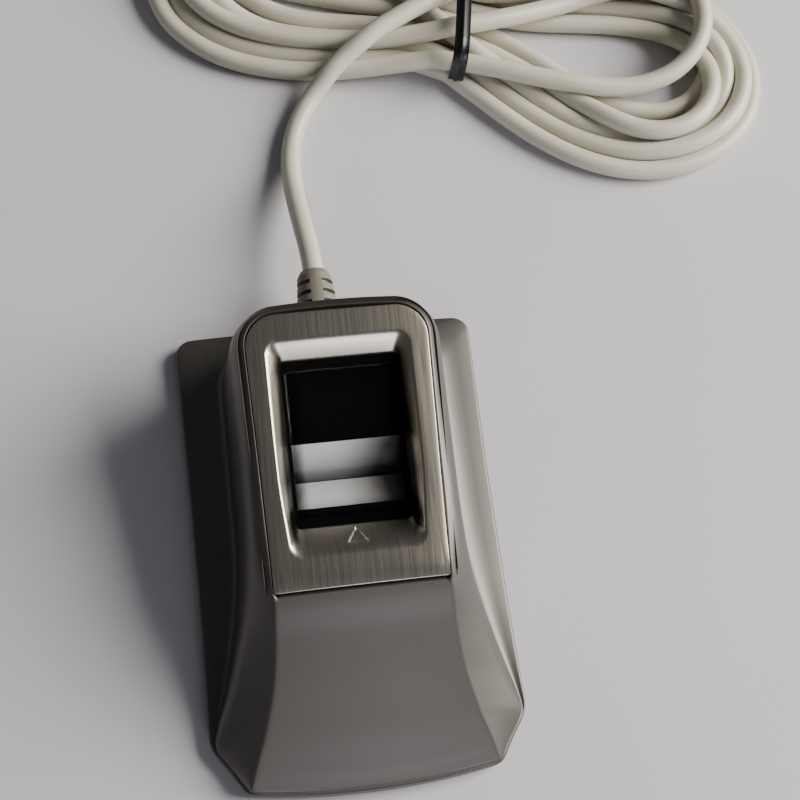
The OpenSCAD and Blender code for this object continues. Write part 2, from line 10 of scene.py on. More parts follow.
import bmesh
import bpy
import numpy as np
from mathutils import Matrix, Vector


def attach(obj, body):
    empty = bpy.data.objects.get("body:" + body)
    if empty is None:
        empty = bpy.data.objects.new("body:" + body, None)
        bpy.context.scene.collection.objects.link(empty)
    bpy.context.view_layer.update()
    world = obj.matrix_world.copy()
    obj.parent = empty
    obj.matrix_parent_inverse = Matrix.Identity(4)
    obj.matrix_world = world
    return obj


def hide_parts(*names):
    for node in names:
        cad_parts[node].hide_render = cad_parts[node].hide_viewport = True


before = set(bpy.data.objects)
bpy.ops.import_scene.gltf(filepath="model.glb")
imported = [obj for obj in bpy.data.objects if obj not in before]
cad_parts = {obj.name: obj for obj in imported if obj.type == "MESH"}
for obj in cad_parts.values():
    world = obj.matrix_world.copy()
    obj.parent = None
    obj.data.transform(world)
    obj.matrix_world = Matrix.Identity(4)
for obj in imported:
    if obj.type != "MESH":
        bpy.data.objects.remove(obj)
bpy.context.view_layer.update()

MM = 0.001

# %% [markdown]
# ## Small helpers
# Node trees are built with one function that adds a node, sets its properties and fills its inputs.
# A value that is itself a socket becomes a link. Colours are written as the hex values a designer
# would pick, and one function turns them to the linear values that Blender wants.

# %% Helpers for objects, nodes and colours
def placed(name, data):
    """A new object with this data, in the scene."""
    made = bpy.data.objects.new(name, data)
    bpy.context.scene.collection.objects.link(made)
    return made


def put(tree, kind, inputs=(), **settings):
    """Adds a node, sets its properties, and sets or links its inputs."""
    made = tree.nodes.new(kind)
    for name, value in settings.items():
        setattr(made, name, value)
    for key, value in dict(inputs).items():
        if isinstance(value, bpy.types.NodeSocket):
            tree.links.new(value, made.inputs[key])
        else:
            made.inputs[key].default_value = value
    return made


def linear(hex_colour):
    """An sRGB hex colour as linear RGBA."""
    parts = [int(hex_colour[i:i + 2], 16) / 255 for i in (1, 3, 5)]
    bent = [c / 12.92 if c <= 0.04045 else ((c + 0.055) / 1.055) ** 2.4 for c in parts]
    return (*bent, 1.0)


def surface(name, **sockets):
    """A new material: its tree, its Principled shader and its object coordinates."""
    material = bpy.data.materials.new(name)
    material.use_nodes = True
    tree = material.node_tree
    shader = tree.nodes["Principled BSDF"]
    for key, value in sockets.items():
        shader.inputs[key.replace("_", " ")].default_value = value
    where = put(tree, "ShaderNodeTexCoord").outputs["Object"]
    return material, tree, shader, where


def grain(tree, where, size_mm, stretch=(1, 1, 1), detail=2.0):
    """Noise whose features are about size_mm across, pulled out along an axis by stretch."""
    laid = put(tree, "ShaderNodeMapping", {"Vector": where, "Scale": stretch})
    return put(tree, "ShaderNodeTexNoise",
               {"Vector": laid.outputs[0], "Scale": 1 / (size_mm * MM), "Detail": detail})


def spread_between(tree, value, low, high):
    """Maps 0.3 to 0.7, where noise mostly lies, to low to high."""
    mapped = put(tree, "ShaderNodeMapRange",
                 {"Value": value, "From Min": 0.3, "From Max": 0.7, "To Min": low, "To Max": high})
    return mapped.outputs[0]


def calc(tree, operation, *values):
    """The result of a math node."""
    return put(tree, "ShaderNodeMath", dict(enumerate(values)), operation=operation).outputs[0]


def eased_between(tree, value, low, high):
    """0 below low and 1 above high, both in metres, with a soft step between."""
    return put(tree, "ShaderNodeMapRange", {"Value": value, "From Min": low, "From Max": high},
               interpolation_type="SMOOTHSTEP").outputs[0]


def relief(tree, shader, height, depth_mm, strength=1.0):
    """Bump from a height of 0 to 1."""
    bump = put(tree, "ShaderNodeBump",
               {"Height": height, "Distance": depth_mm * MM, "Strength": strength})
    tree.links.new(bump.outputs[0], shader.inputs["Normal"])


def blend(tree, value, *ends):
    """A colour between two ends by a value of 0 to 1. Each end is a hex colour or a socket."""
    first, second = (linear(end) if isinstance(end, str) else end for end in ends)
    mixed = put(tree, "ShaderNodeMix", {"Factor": value, "A": first, "B": second}, data_type="RGBA")
    return mixed.outputs["Result"]


def two_tone(tree, shader, value, first, second):
    """Base colour between two hex colours by a value of 0 to 1."""
    tree.links.new(blend(tree, value, first, second), shader.inputs["Base Color"])

# %% [markdown]
# ## The camera
# The scanner is seen from above, leaning about nineteen degrees back from straight down and turned a
# little to the right, with a moderate lens. The place is in metres and the turn in degrees.

# %% Camera
CAMERA_AT = (-0.0230, -0.0580, 0.2824)
CAMERA_TURN = (18.51, -5.36, -7.51)
LENS_MM = 59.9

camera_data = bpy.data.cameras.new("camera")
camera_data.lens = LENS_MM
camera_data.sensor_width = 36
camera = placed("camera", camera_data)
camera.location = CAMERA_AT
camera.rotation_euler = [math.radians(a) for a in CAMERA_TURN]
bpy.context.scene.camera = camera

# %% [markdown]
# ## The lead's route
# The lead is a round PVC cord 4.6 mm thick and about two metres long. It leaves the strain relief straight,
# sinks to the table, swings round and climbs over its own tied hank. The hank is six turns. Each turn
# passes under the tie, goes round a right loop, back under the tie and round a left loop, and one loop
# here lays all the turns from a table with a row for each. The numbers are in the hank's own frame:
# u runs along it to the right, v to its far side, and the middle of the tie is at u = v = 0.

# %% The lead's points
CORD_D = 4.6
OUTLET_X, OUTLET_Z = -1.2, 12
LEAD_ROUTE = [(OUTLET_X, 37.2, OUTLET_Z), (OUTLET_X, 48, OUTLET_Z), (OUTLET_X, 60, OUTLET_Z),
              (-1.5, 66, 11.4), (-2.1, 72, 10), (-2.6, 78, 7.8), (-2.9, 84, 5.4), (-2.9, 90, 3.4),
              (-2.4, 95, 2.5), (-1.3, 99.5, 2.4), (0.9, 104.5, 2.5), (3.9, 109, 3.2), (7.4, 112.6, 5),
              (11, 115, 7.6)]
OVER_THE_HANK = [(16.2, 116.7, 10), (21.1, 118.8, 11.6), (27.3, 121.6, 12.3)]
LOOP_LEFT, LOOP_RIGHT = (-5, 147), (88, 112)
TAIL_ROUTE = [(-46, 24, 2.3), (-38, 26, 2.3), (-30, 28.8, 2.8), (-21, 30.7, 3.8), (-5, 31, 4.2)]

HANK_MIDDLE = (np.array(LOOP_LEFT) + LOOP_RIGHT) / 2
HANK_ALONG = (np.array(LOOP_RIGHT) - LOOP_LEFT) / math.dist(LOOP_LEFT, LOOP_RIGHT)
HANK_ACROSS = np.array((-HANK_ALONG[1], HANK_ALONG[0]))


def from_hank(points):
    """Points of the hank's own frame, in the scanner's frame."""
    p = np.array(points, float)
    flat = HANK_MIDDLE + p[:, :1] * HANK_ALONG + p[:, 1:2] * HANK_ACROSS
    return np.column_stack([flat, p[:, 2]])


# Each turn: right loop (u, v, radius, height), pass under the tie (v, height),
# left loop (u, v, radius, height, sense), next pass under the tie (v, height).
# A sense of -1 goes round the left loop the other way, so that the turn crosses over itself.
FIRST_PASS = (-2.0, 11.8)
TURNS = [
    ((45, 8, 16, 11.5), (-13, 8), (49, 0, 22.5, 2.3, 1), (0.3, 7)),
    ((54, -4, 20, 6.9), (-8.8, 2.4), (47, 1, 16.5, 6.9, 1), (4.6, 2.4)),
    ((54, -4.5, 16, 4.6), (-8.8, 7), (50, 0, 20, 9, -1), (-6.5, 11.6)),
    ((53.5, -1, 22.3, 2.3), (-13.2, 2.4), (46, 1, 18.5, 2.3, 1), (-4.4, 7)),
    ((52, -4.5, 14.5, 6.9), (-4.4, 2.4), (48, 4, 16, 2.3, 1), (9, 2.4)),
    ((50, 2.4, 14.5, 2.3), (0, 2.4), (50, 6.2, 17.9, 2.3, 1), None),
]
RUN_STEPS = 8
ARC_STEPS = 12


def run_between(start, end):
    """Points of one run of the hank, which eases from one side to the other."""
    made = []
    for i in range(1, RUN_STEPS):
        t = i / RUN_STEPS
        soft = t * t * (3 - 2 * t)
        made.append((start[0] + (end[0] - start[0]) * t, start[1] + (end[1] - start[1]) * soft,
                     start[2] + (end[2] - start[2]) * soft))
    return made


def end_loop(u, v, radius, height, sense):
    """A half circle from the near or far side round the end of the hank; u below 0 is the left end."""
    outward = math.copysign(1, u)
    first = math.pi / 2 * sense * outward
    turns = [first - sense * outward * math.pi * i / ARC_STEPS for i in range(ARC_STEPS + 1)]
    return [(u + outward * radius * math.cos(a), v + radius * math.sin(a), height) for a in turns]


def hank_points():
    """All the turns in order, worked out from the table."""
    here = (0, *FIRST_PASS)
    made = [here]
    for right, under_tie, left, next_pass in TURNS:
        u, v, radius, height = right
        loop = end_loop(u, v, radius, height, 1)
        made += run_between(here, loop[0]) + loop
        here = (0, *under_tie)
        made += run_between(loop[-1], here) + [here]
        u, v, radius, height, sense = left
        loop = [(-a, b, c) for a, b, c in end_loop(u, v, radius, height, -sense)]
        made += run_between(here, loop[0]) + loop
        if next_pass:
            here = (0, *next_pass)
            made += run_between(loop[-1], here) + [here]
    return made


def smooth_curve(points, steps):
    """A smooth curve through the points, with a few steps between each two."""
    p = np.vstack([2 * np.array(points[0]) - points[1], points, 2 * np.array(points[-1]) - points[-2]])
    a, b, c, d = p[:-3], p[1:-2], p[2:-1], p[3:]
    out = [0.5 * (2 * b + (c - a) * t + (2 * a - 5 * b + 4 * c - d) * t ** 2
                  + (3 * b - a - 3 * c + d) * t ** 3) for t in np.arange(steps) / steps]
    return np.vstack([np.stack(out, axis=1).reshape(-1, 3), p[-2]])


def evenly(points, step):
    """The same line with its points step apart."""
    along = np.concatenate([[0], np.cumsum(np.linalg.norm(np.diff(points, axis=0), axis=1))])
    at = np.linspace(0, along[-1], round(along[-1] / step) + 1)
    return np.column_stack([np.interp(at, along, points[:, k]) for k in range(3)])


POINT_STEP = 3.0
laid = np.vstack([LEAD_ROUTE, OVER_THE_HANK, from_hank(hank_points()), from_hank(TAIL_ROUTE)])
laid = evenly(smooth_curve(laid, 6), POINT_STEP)
print("lead as laid:", len(laid), "points,", round((len(laid) - 1) * POINT_STEP), "mm")

# %% [markdown]
# ## Letting the hank settle
# Drawn turns pass through each other where they cross. Real ones press on each other, slide apart and
# rest on the table. So the line is relaxed, as a string of beads: each round pulls the beads down a
# little, stiffens the bends, keeps the spacing, pushes apart beads that touch, and holds them above
# the table and inside the tie. Beads four and eight steps apart are also kept as far apart as on a
# circle of the tightest radius. That limits bends over 12 and 24 mm, and shorter kinks still get by.
# The two ends, in the strain relief and in the plug, don't move.

# %% Relax the lead
HELD_START, HELD_END = 78, 21
TIE_NEAR, TIE_FAR, TIE_TOP = -17.8, 15.0, 14.7
TIE_HALF = 3
TIGHTEST = 15.5
ROUNDS = 300
LOOK_EVERY = 6
NEIGHBOURS = 6
SINK, STIFFNESS, PUSH = 0.03, 0.3, 1.2


def touching(points, far_along, reach):
    """Pairs of beads that are nearer than reach and not neighbours along the cord."""
    gaps = points[:, None, :] - points[None, :, :]
    near = (gaps ** 2).sum(2) < reach ** 2
    first, second = np.nonzero(near)
    keep = second - first > far_along
    return first[keep], second[keep]


def settle(points):
    """The line after the beads have come to rest."""
    p = points.copy()
    step = np.linalg.norm(np.diff(p, axis=0), axis=1).mean()
    along = np.arange(len(p)) * step
    free = ((along > HELD_START) & (along < along[-1] - HELD_END)).astype(float)[:, None]
    for round_no in range(ROUNDS):
        if round_no % LOOK_EVERY == 0:
            first, second = touching(p, NEIGHBOURS, CORD_D * 1.5)
        p[:, 2] -= SINK * free[:, 0]
        for s in (1, 2, 3):
            eased = (4 * (p[s:-3 * s] + p[3 * s:-s]) - (p[:-4 * s] + p[4 * s:])) / 6
            p[2 * s:-2 * s] += STIFFNESS * (eased - p[2 * s:-2 * s]) * free[2 * s:-2 * s]
        for _ in range(2):
            link = p[1:] - p[:-1]
            long = np.linalg.norm(link, axis=1)[:, None]
            pull = link * (1 - step / long) / 2
            p[:-1] += pull * free[:-1]
            p[1:] -= pull * free[1:]
            for apart_by in (4, 8):
                least = 2 * TIGHTEST * math.sin(apart_by * step / (2 * TIGHTEST))
                link = p[apart_by:] - p[:-apart_by]
                long = np.linalg.norm(link, axis=1)[:, None]
                push = link * np.minimum(1 - least / long, 0) / 2
                p[:-apart_by] += push * free[:-apart_by]
                p[apart_by:] -= push * free[apart_by:]
            gap = p[first] - p[second]
            apart = np.maximum(np.linalg.norm(gap, axis=1), 1e-6)[:, None]
            press = gap / apart * np.maximum(CORD_D - apart, 0) / 2
            push, count = np.zeros_like(p), np.zeros(len(p))
            for index, sign in ((first, 1), (second, -1)):
                np.add.at(push, index, sign * press)
                np.add.at(count, index, apart[:, 0] < CORD_D)
            p += PUSH * push / np.maximum(count, 1)[:, None] * free
            p[:, 2] = np.where(free[:, 0] > 0, np.maximum(p[:, 2], CORD_D / 2), p[:, 2])
            u, v = ((p[:, :2] - HANK_MIDDLE) @ axis for axis in (HANK_ALONG, HANK_ACROSS))
            tied = (np.abs(u) < TIE_HALF) & (free[:, 0] > 0)
            held = np.clip(v, TIE_NEAR + CORD_D / 2, TIE_FAR - CORD_D / 2)
            p[tied, :2] += np.outer((held - v)[tied], HANK_ACROSS)
            p[tied, 2] = np.minimum(p[tied, 2], TIE_TOP - CORD_D / 2)
    return p


settled = settle(laid)
print("lead as settled:", round(np.linalg.norm(np.diff(settled, axis=0), axis=1).sum()), "mm")
pressing = touching(settled, NEIGHBOURS, CORD_D * 0.8)[0]
print("beads that still press into each other:", len(set(pressing)), "of", len(settled))

# %% [markdown]
# ## The lead as a curve
# The settled line becomes one NURBS curve with a round bevel, so its surface stays smooth and its
# length can be measured. PVC flex has a satin skin: a soft wide highlight, with faint handling marks.

# %% PVC of the lead
def lead_pvc():
    """Extruded PVC: satin, warm light grey, slightly uneven."""
    material, tree, shader, where = surface(
        "pvc_extruded_satin", Roughness=0.42, IOR=1.53, Coat_Weight=0.12, Coat_Roughness=0.3)
    broad = grain(tree, where, 14)
    two_tone(tree, shader, spread_between(tree, broad.outputs[0], 0, 1), "#c4c0b0", "#d0ccbd")
    fine = grain(tree, where, 0.6, detail=3)
    rough = spread_between(tree, fine.outputs[0], 0.36, 0.48)
    tree.links.new(rough, shader.inputs["Roughness"])
    relief(tree, shader, fine.outputs[0], 0.02)
    return material


curve = bpy.data.curves.new("lead", "CURVE")
curve.dimensions = "3D"
spline = curve.splines.new("NURBS")
spline.points.add(len(settled) - 1)
spline.points.foreach_set("co", np.column_stack([settled * MM, np.ones(len(settled))]).ravel())
spline.order_u = 4
spline.use_endpoint_u = True
spline.resolution_u = 2
curve.bevel_depth = CORD_D / 2 * MM
curve.bevel_resolution = 4
curve.use_fill_caps = True
curve.materials.append(lead_pvc())
lead = placed("lead", curve)
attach(lead, "root")
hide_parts("cord_lead", "cord_hank", "cord_tail")

# %% [markdown]
# ## The shell's guides
# The upper shell is one moulding: low wings that end in two front tips, a steep tower, and an apron
# that slopes down from the bezel to the front edge. Its form follows eight guide lines round the body.
# The wing, foot, crease and ridge come from tables of a few [y, value] pairs for the right half, drawn
# as smooth curves, and the others are worked out from them. The same tables shape the CAD solid, with
# fewer stations. A sculpted mesh could do this too, but guides keep both halves alike and leave the
# outline where the CAD has it.

# %% Guide tables, in mm
CREASE_X = [(-38.6, 31.9), (-34, 30.2), (-28.5, 28), (-20, 25.2), (-11.4, 22.9), (-4, 21.8), (4, 21.4),
            (40, 21.4)]
CREASE_Z = [(-38.6, 4), (-34, 6.4), (-28.5, 9.7), (-20, 14.8), (-11.4, 20.2), (-4, 24.2), (4, 26.4),
            (12, 27.6), (24, 29.3), (36, 31.2), (44, 32.6)]
FOOT_X = [(-38.6, 32.1), (-34, 30.9), (-28.5, 29), (-20, 26.7), (-11.4, 24.9), (-4, 23.9), (4, 23.5),
          (40, 23.4)]
FOOT_Z = [(-38.6, 3.8), (-34, 4.2), (-28.5, 4.7), (-20, 5.3), (-11.4, 5.8), (-4, 6), (44, 6)]
RIDGE_X = [(-49.6, 25.9), (-48, 25.6), (-43.5, 24), (-38.6, 22), (-34, 20.5), (-28.5, 19), (-20, 17.9),
           (-11.4, 17.5), (4, 17.7), (34, 18.4)]
RIDGE_Z = [(-50.5, 4.1), (-48.3, 4.8), (-44, 7.2), (-38.6, 10.4), (-34, 13.1), (-28.5, 16.4),
           (-20, 21.6), (-13, 26.2), (-10.5, 27.3), (-6, 28.2), (42, 36.7), (46, 37)]
WING_X = [(-38.6, 32.8), (-10, 32.4), (10, 32.4), (30, 32.7), (47, 33)]
FRONT_Y, BACK_Y, BACK_BOW = -50.5, 50.1, 0.4
FRONT_CORNER, CUT_MIDDLE, TIP = (26.2, -48.3), (28.8, -43.9), (32.6, -38.6)
EDGE_Z, FOOT_H = 3.5, 1.0
BEZEL_FRONT, BEZEL_BACK, BEZEL_CORNER = -12.3, 41.3, 6.3


def through(table):
    """A smooth function through [position, value] pairs that never swings past them."""
    x, y = np.array(table, float).T
    h = np.diff(x)
    s = np.diff(y) / h
    both = s[:-1] * s[1:]
    inner = np.where(both > 0, 2 * both / (s[:-1] + s[1:] + (both <= 0)), 0)
    slope = np.concatenate([s[:1], inner, s[-1:]])

    def value(q):
        q = np.clip(q, x[0], x[-1])
        i = np.clip(np.searchsorted(x, q, side="right") - 1, 0, len(h) - 1)
        t = (q - x[i]) / h[i]
        return ((2 * t ** 3 - 3 * t ** 2 + 1) * y[i] + (t ** 3 - 2 * t ** 2 + t) * h[i] * slope[i]
                + (3 * t ** 2 - 2 * t ** 3) * y[i + 1] + (t ** 3 - t ** 2) * h[i] * slope[i + 1])

    return value


def arc_through(a, b, c, count):
    """A parabola through three points, without its last point."""
    a, b, c = (np.array(p, float) for p in (a, b, c))
    t = (np.arange(count) / count)[:, None]
    return a * (1 - t) * (1 - 2 * t) + 4 * b * t * (1 - t) + c * t * (2 * t - 1)

# %% [markdown]
# ## Stations round the body
# Every guide has the same stations: along the front edge, round the concave cut at the front corner,
# up the side, round the back corner and along the back. So station 40 of one guide lies beside
# station 40 of the next, and the skin between them is a regular grid.

# %% One half of a guide
FRONT_N, CUT_N, CORNER_N, BACK_N = 22, 12, 14, 12
SIDE_Y = np.concatenate([np.linspace(-37.6, BEZEL_FRONT, 26), np.linspace(-11.4, 24, 34)])
BEZEL_STATION = FRONT_N + CUT_N + 25


def side_and_back(x_at, z_at, radius, back):
    """From the tip up the side and round the back corner to the middle of the back."""
    far = back - radius
    x_end = float(x_at(far))
    y = np.concatenate([SIDE_Y, np.linspace(SIDE_Y[-1], far, 9)[1:]])
    side = np.column_stack([x_at(y), y, z_at(y)])
    turn = np.linspace(0, math.pi / 2, CORNER_N + 1)[1:]
    corner = np.column_stack([x_end - radius + radius * np.cos(turn), far + radius * np.sin(turn)])
    cross = np.linspace(1, 0, BACK_N + 1)[1:]
    along_back = np.column_stack([cross * (x_end - radius), back + BACK_BOW * (1 - cross ** 2)])
    round_back = np.vstack([corner, along_back])
    return np.vstack([side, np.column_stack([round_back, z_at(round_back[:, 1])])])


def with_front(front, rest):
    """Puts the front edge and the corner cut, five points in all, before the side of a guide."""
    return np.vstack([arc_through(*front[:3], FRONT_N), arc_through(*front[2:], CUT_N), front[4:5], rest])


def level(z):
    """A guide that keeps one value all along."""
    return lambda y: np.full(np.shape(y), float(z))


def wing(z, inset):
    """Outline of the wings at one height, drawn in by inset."""
    front = [(0, FRONT_Y + inset, z), (13, FRONT_Y + 0.5 + inset, z),
             (FRONT_CORNER[0] - 0.6 * inset, FRONT_CORNER[1] + inset, z),
             (CUT_MIDDLE[0] - inset, CUT_MIDDLE[1] + 0.5 * inset, z),
             (TIP[0] - inset, TIP[1] + 0.2 * inset, z)]
    wing_x = through(WING_X)
    return with_front(front, side_and_back(lambda y: wing_x(y) - inset, level(z), 3.6 - 0.4 * inset,
                                           BACK_Y - inset))


ridge_z = through(RIDGE_Z)
ridge_x = through(RIDGE_X)
RIDGE_FRONT = [(0, -49.3, 4.4), (13, -48.8, 4.6), (25.3, -47.4, 5.2), (24, -43.5, 7.5), (22, -38.6, 10.4)]
ridge = with_front(RIDGE_FRONT, side_and_back(ridge_x, ridge_z, 6.5, 41.6))
edge_in = wing(EDGE_Z, 0.7)
FRONT_TOTAL = FRONT_N + CUT_N + 1
crease_front = [edge_in[k] * 0.4 + ridge[k] * 0.6 for k in (0, FRONT_N // 2, FRONT_N)]
crease = with_front(crease_front + [(28.1, -43.4, 4.2), (31.7, -38.3, 4.1)],
                    side_and_back(through(CREASE_X), through(CREASE_Z), 7.5, 43.2))
foot = side_and_back(through(FOOT_X), through(FOOT_Z), 8, 45)
foot = np.vstack([(edge_in * 0.4 + crease * 0.6)[:FRONT_TOTAL], foot])
drop = np.where(np.arange(len(foot)) < FRONT_TOTAL, 0, 0.9)
toe = edge_in * 0.3 + foot * 0.7 - np.outer(drop, (0, 0, 1))
rise = np.interp(crease[:, 1] * 0.58 + ridge[:, 1] * 0.42, (-30, 0, 50), (0.2, 1, 1))
shoulder = crease * 0.58 + ridge * 0.42 + np.outer(rise, (0, 0, 1))
print("stations in half a guide:", len(ridge))

# %% [markdown]
# ## From guides to a skin
# Between guides the wall is nearly straight, and at each guide the real moulding is rounded. So each
# guide is swapped for a short curve that leaves one wall and joins the next, with a radius of its own:
# small at the wing's edge, generous where the tower meets the wing.

# %% Skin over guides
def soft_corner(start, middle, end, steps):
    """Points of the curve from start to end that leaves and arrives along the lines to middle."""
    return [start * (1 - t) ** 2 + middle * 2 * t * (1 - t) + end * t ** 2
            for t in np.linspace(0, 1, steps)]


def rounded_rows(guides, radii, steps=5):
    """Rows of points across the guides, with every inner guide rounded by its radius."""
    rows = [guides[0]]
    for before, here, after, radius in zip(guides, guides[1:], guides[2:], radii):
        ends = []
        for other in (before, after):
            way = other - here
            long = np.maximum(np.linalg.norm(way, axis=1, keepdims=True), 1e-6)
            ends.append(here + way * np.minimum(radius / long, 0.48))
        rows += soft_corner(ends[0], here, ends[1], steps)
    return rows + [guides[-1]]


def mirrored(half):
    """A closed ring from its right half, whose two ends are on the middle line."""
    left = half[-2:0:-1] * (-1, 1, 1)
    return np.vstack([half, left])


def eased(ring, rounds):
    """Takes the sharpness off a ring's corners."""
    for _ in range(rounds):
        ring = (np.roll(ring, 1, axis=0) + 2 * ring + np.roll(ring, -1, axis=0)) / 4
    return ring


def grid_faces(rows, columns, closed, start=0):
    """Quads of a grid whose rows may close on themselves."""
    across = columns if closed else columns - 1
    return [(start + r * columns + c, start + r * columns + (c + 1) % columns,
             start + (r + 1) * columns + (c + 1) % columns, start + (r + 1) * columns + c)
            for r in range(rows - 1) for c in range(across)]


def capped_faces(rows, columns):
    """Faces of a stack of closed rings, with a cap on its last and on its first ring."""
    last = (rows - 1) * columns
    caps = [tuple(range(last, last + columns)), tuple(reversed(range(columns)))]
    return grid_faces(rows, columns, True) + caps


def walled(piece, thick_mm):
    """Gives a skin its wall, on the inner side."""
    wall = piece.modifiers.new("wall", "SOLIDIFY")
    wall.thickness = thick_mm * MM
    wall.offset = -1


def finished_mesh(name, points_mm, faces, material, sharp_deg=50, merge_mm=0.01):
    """A mesh in metres with its doubles merged, its faces outward and its shading smooth."""
    mesh = bpy.data.meshes.new(name)
    mesh.from_pydata([tuple(p) for p in np.array(points_mm) * MM], [], faces)
    work = bmesh.new()
    work.from_mesh(mesh)
    bmesh.ops.remove_doubles(work, verts=work.verts, dist=merge_mm * MM)
    bmesh.ops.recalc_face_normals(work, faces=work.faces)
    work.to_mesh(mesh)
    work.free()
    mesh.shade_smooth()
    mesh.set_sharp_from_angle(angle=math.radians(sharp_deg))
    mesh.materials.append(material)
    return placed(name, mesh)


def ride_as(piece, slot, *nodes):
    """The piece rides on the body and stands for CAD nodes. The slot is not used."""
    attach(piece, "root")
    if nodes:
        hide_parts(*nodes)
    print(piece.name, "for", nodes or "no node", "-", len(piece.data.polygons), "faces")

# %% [markdown]
# ## Satin paint
# The shell is injection-moulded ABS with a satin metallic lacquer, warm grey. Fine aluminium flake
# makes it brighter where it leans to the light and dark where it leans away, and the lacquer has a
# very fine orange peel. Flake is a few hundredths of a millimetre, so it is drawn ten times coarser.

# %% Lacquer of the shell
def satin_lacquer():
    """Sprayed metallic lacquer on ABS."""
    material, tree, shader, where = surface(
        "abs_sprayed_satin_lacquer", Metallic=0.72, Coat_Weight=0.1, Coat_Roughness=0.35)
    broad = grain(tree, where, 25)
    flake = grain(tree, where, 0.25, detail=1)
    both = calc(tree, "MULTIPLY", broad.outputs[0], flake.outputs[0])
    two_tone(tree, shader, spread_between(tree, both, -0.2, 2.2), "#5f5c59", "#6a6763")
    rough = spread_between(tree, flake.outputs[0], 0.40, 0.50)
    tree.links.new(rough, shader.inputs["Roughness"])
    relief(tree, shader, flake.outputs[0], 0.008, 0.5)
    return material

# %% [markdown]
# ## The upper shell
# The rows of the skin go from the wing's lower edge up to the ridge. Behind the bezel's front edge
# the last rows dive into the parting gap; in front of it they run on into the apron, a grid of rows
# that crosses from one ridge to the other with a slight crown. Solidify then gives the wall.

# %% Upper shell
INSET = 1.2
APRON_CROWN = 0.5
APRON_HALF, TOP_HALF = 20, 18
TOP_ROWS, CORNER_EASE = 12, 3
GAP_DEPTH = 1.9
WALL = 1.6


def apron_point(y, across):
    """A point of the apron: y on the ridge, and across from -1 to 1 between the two ridges."""
    back_share = (y - RIDGE_FRONT[2][1]) / (BEZEL_FRONT - RIDGE_FRONT[2][1])
    bow = (RIDGE_FRONT[2][1] - RIDGE_FRONT[0][1]) * (1 - back_share)
    crown = APRON_CROWN * back_share + (RIDGE_FRONT[0][2] - RIDGE_FRONT[2][2]) * (1 - back_share)
    flat = 1 - across ** 2
    return np.array([across * ridge_x(y), y - bow * flat, ridge_z(y) + crown * flat])


front_rows_y = ridge[FRONT_N:BEZEL_STATION + 1, 1]
inner_share = (BEZEL_FRONT - (front_rows_y[0] + INSET)) / (BEZEL_FRONT - front_rows_y[0])
inner_y = BEZEL_FRONT + (front_rows_y - BEZEL_FRONT) * inner_share
inner_edge = 1 - INSET / APRON_HALF
across_front = ridge[:FRONT_N + 1, 0] / ridge[FRONT_N, 0] * inner_edge

towards_gap = ridge - (0, 0, GAP_DEPTH)
towards_gap[:, 0] *= 1 - 0.25 / TOP_HALF
after_ridge = towards_gap.copy()
after_ridge[:FRONT_N + 1] = [apron_point(inner_y[0], a) for a in across_front]
after_ridge[FRONT_N:BEZEL_STATION + 1] = [apron_point(y, inner_edge) for y in inner_y]

shell_guides = [wing(FOOT_H, 0.0), wing(EDGE_Z, 0.0), toe, foot, crease, shoulder, ridge, after_ridge]
SHELL_RADII = (0.7, 6.0, 1.8, 2.6, 2.4, 0.6)
rings = [mirrored(r) for r in rounded_rows(shell_guides, SHELL_RADII)]
ring_n = len(rings[0])
rings = [eased(r, CORNER_EASE) if k < len(rings) - TOP_ROWS else r for k, r in enumerate(rings)]
points = list(np.vstack(rings))
faces = grid_faces(len(rings), ring_n, True)

columns = np.concatenate([-across_front[:0:-1], across_front])
apron_rows = [[apron_point(y, a) for a in columns] for y in inner_y]
under = np.array(apron_rows[-1]) + (0, 1.4, -1.3)
apron = np.vstack([np.array(apron_rows).reshape(-1, 3), under])
faces += grid_faces(len(apron_rows) + 1, len(columns), False, start=len(points))
points += list(apron)
shell = finished_mesh("upper_shell_skin", points, faces, satin_lacquer(), sharp_deg=60)
walled(shell, WALL)
ride_as(shell, "shell_paint", "upper_shell")

# %% [markdown]
# ## Brushed nickel
# The bezel is a nickel-plated moulding with a hairline brush from front to back. Real hairlines are
# finer than a view of the whole scanner can show, so they are drawn a fifth of a millimetre apart, and
# the noise is pulled out about eighty times along y. They spread each highlight sideways, which a very
# shallow relief gives. The side walls of the recess look nearly black from the shade in it. That shade
# is painted into the colour, which darkens with the depth under the top. Whether that is their plating
# or only what they reflect isn't known, so the colour is toned down with the depth under the top.

# %% Nickel of the bezel
TOP_SLOPE, TOP_AT_ORIGIN = 0.177, 29.25


def painted_shade_on_side_walls(tree, where):
    """Where the painted shade goes: 1 on the steep side walls of the recess and 0 on the top, from the
    depth under the top.
    """
    at = put(tree, "ShaderNodeSeparateXYZ", {"Vector": where}).outputs
    top = calc(tree, "MULTIPLY_ADD", at["Y"], TOP_SLOPE, TOP_AT_ORIGIN * MM)
    deep = eased_between(tree, calc(tree, "SUBTRACT", top, at["Z"]), 0.5 * MM, 2.2 * MM)
    wide = eased_between(tree, calc(tree, "ABSOLUTE", at["X"]), 10.6 * MM, 12 * MM)
    return calc(tree, "MULTIPLY", deep, wide)


def brushed_nickel():
    """Plated and brushed: a warm grey metal with fine lines from front to back, and painted shade down the
    side walls of the recess.
    """
    material, tree, shader, where = surface("nickel_plated_brushed", Metallic=1.0)
    lines = grain(tree, where, 0.22, stretch=(1, 0.012, 0.05), detail=3)
    brushed = blend(tree, spread_between(tree, lines.outputs[0], 0, 1), "#b3ada1", "#c2bcae")
    # Painted shade: the colour goes to a dark grey down the side walls of the recess.
    with_painted_shade = blend(tree, painted_shade_on_side_walls(tree, where), brushed, "#3a3733")
    tree.links.new(with_painted_shade, shader.inputs["Base Color"])
    rough = spread_between(tree, lines.outputs[0], 0.27, 0.34)
    tree.links.new(rough, shader.inputs["Roughness"])
    relief(tree, shader, lines.outputs[0], 0.003, 0.35)
    return material

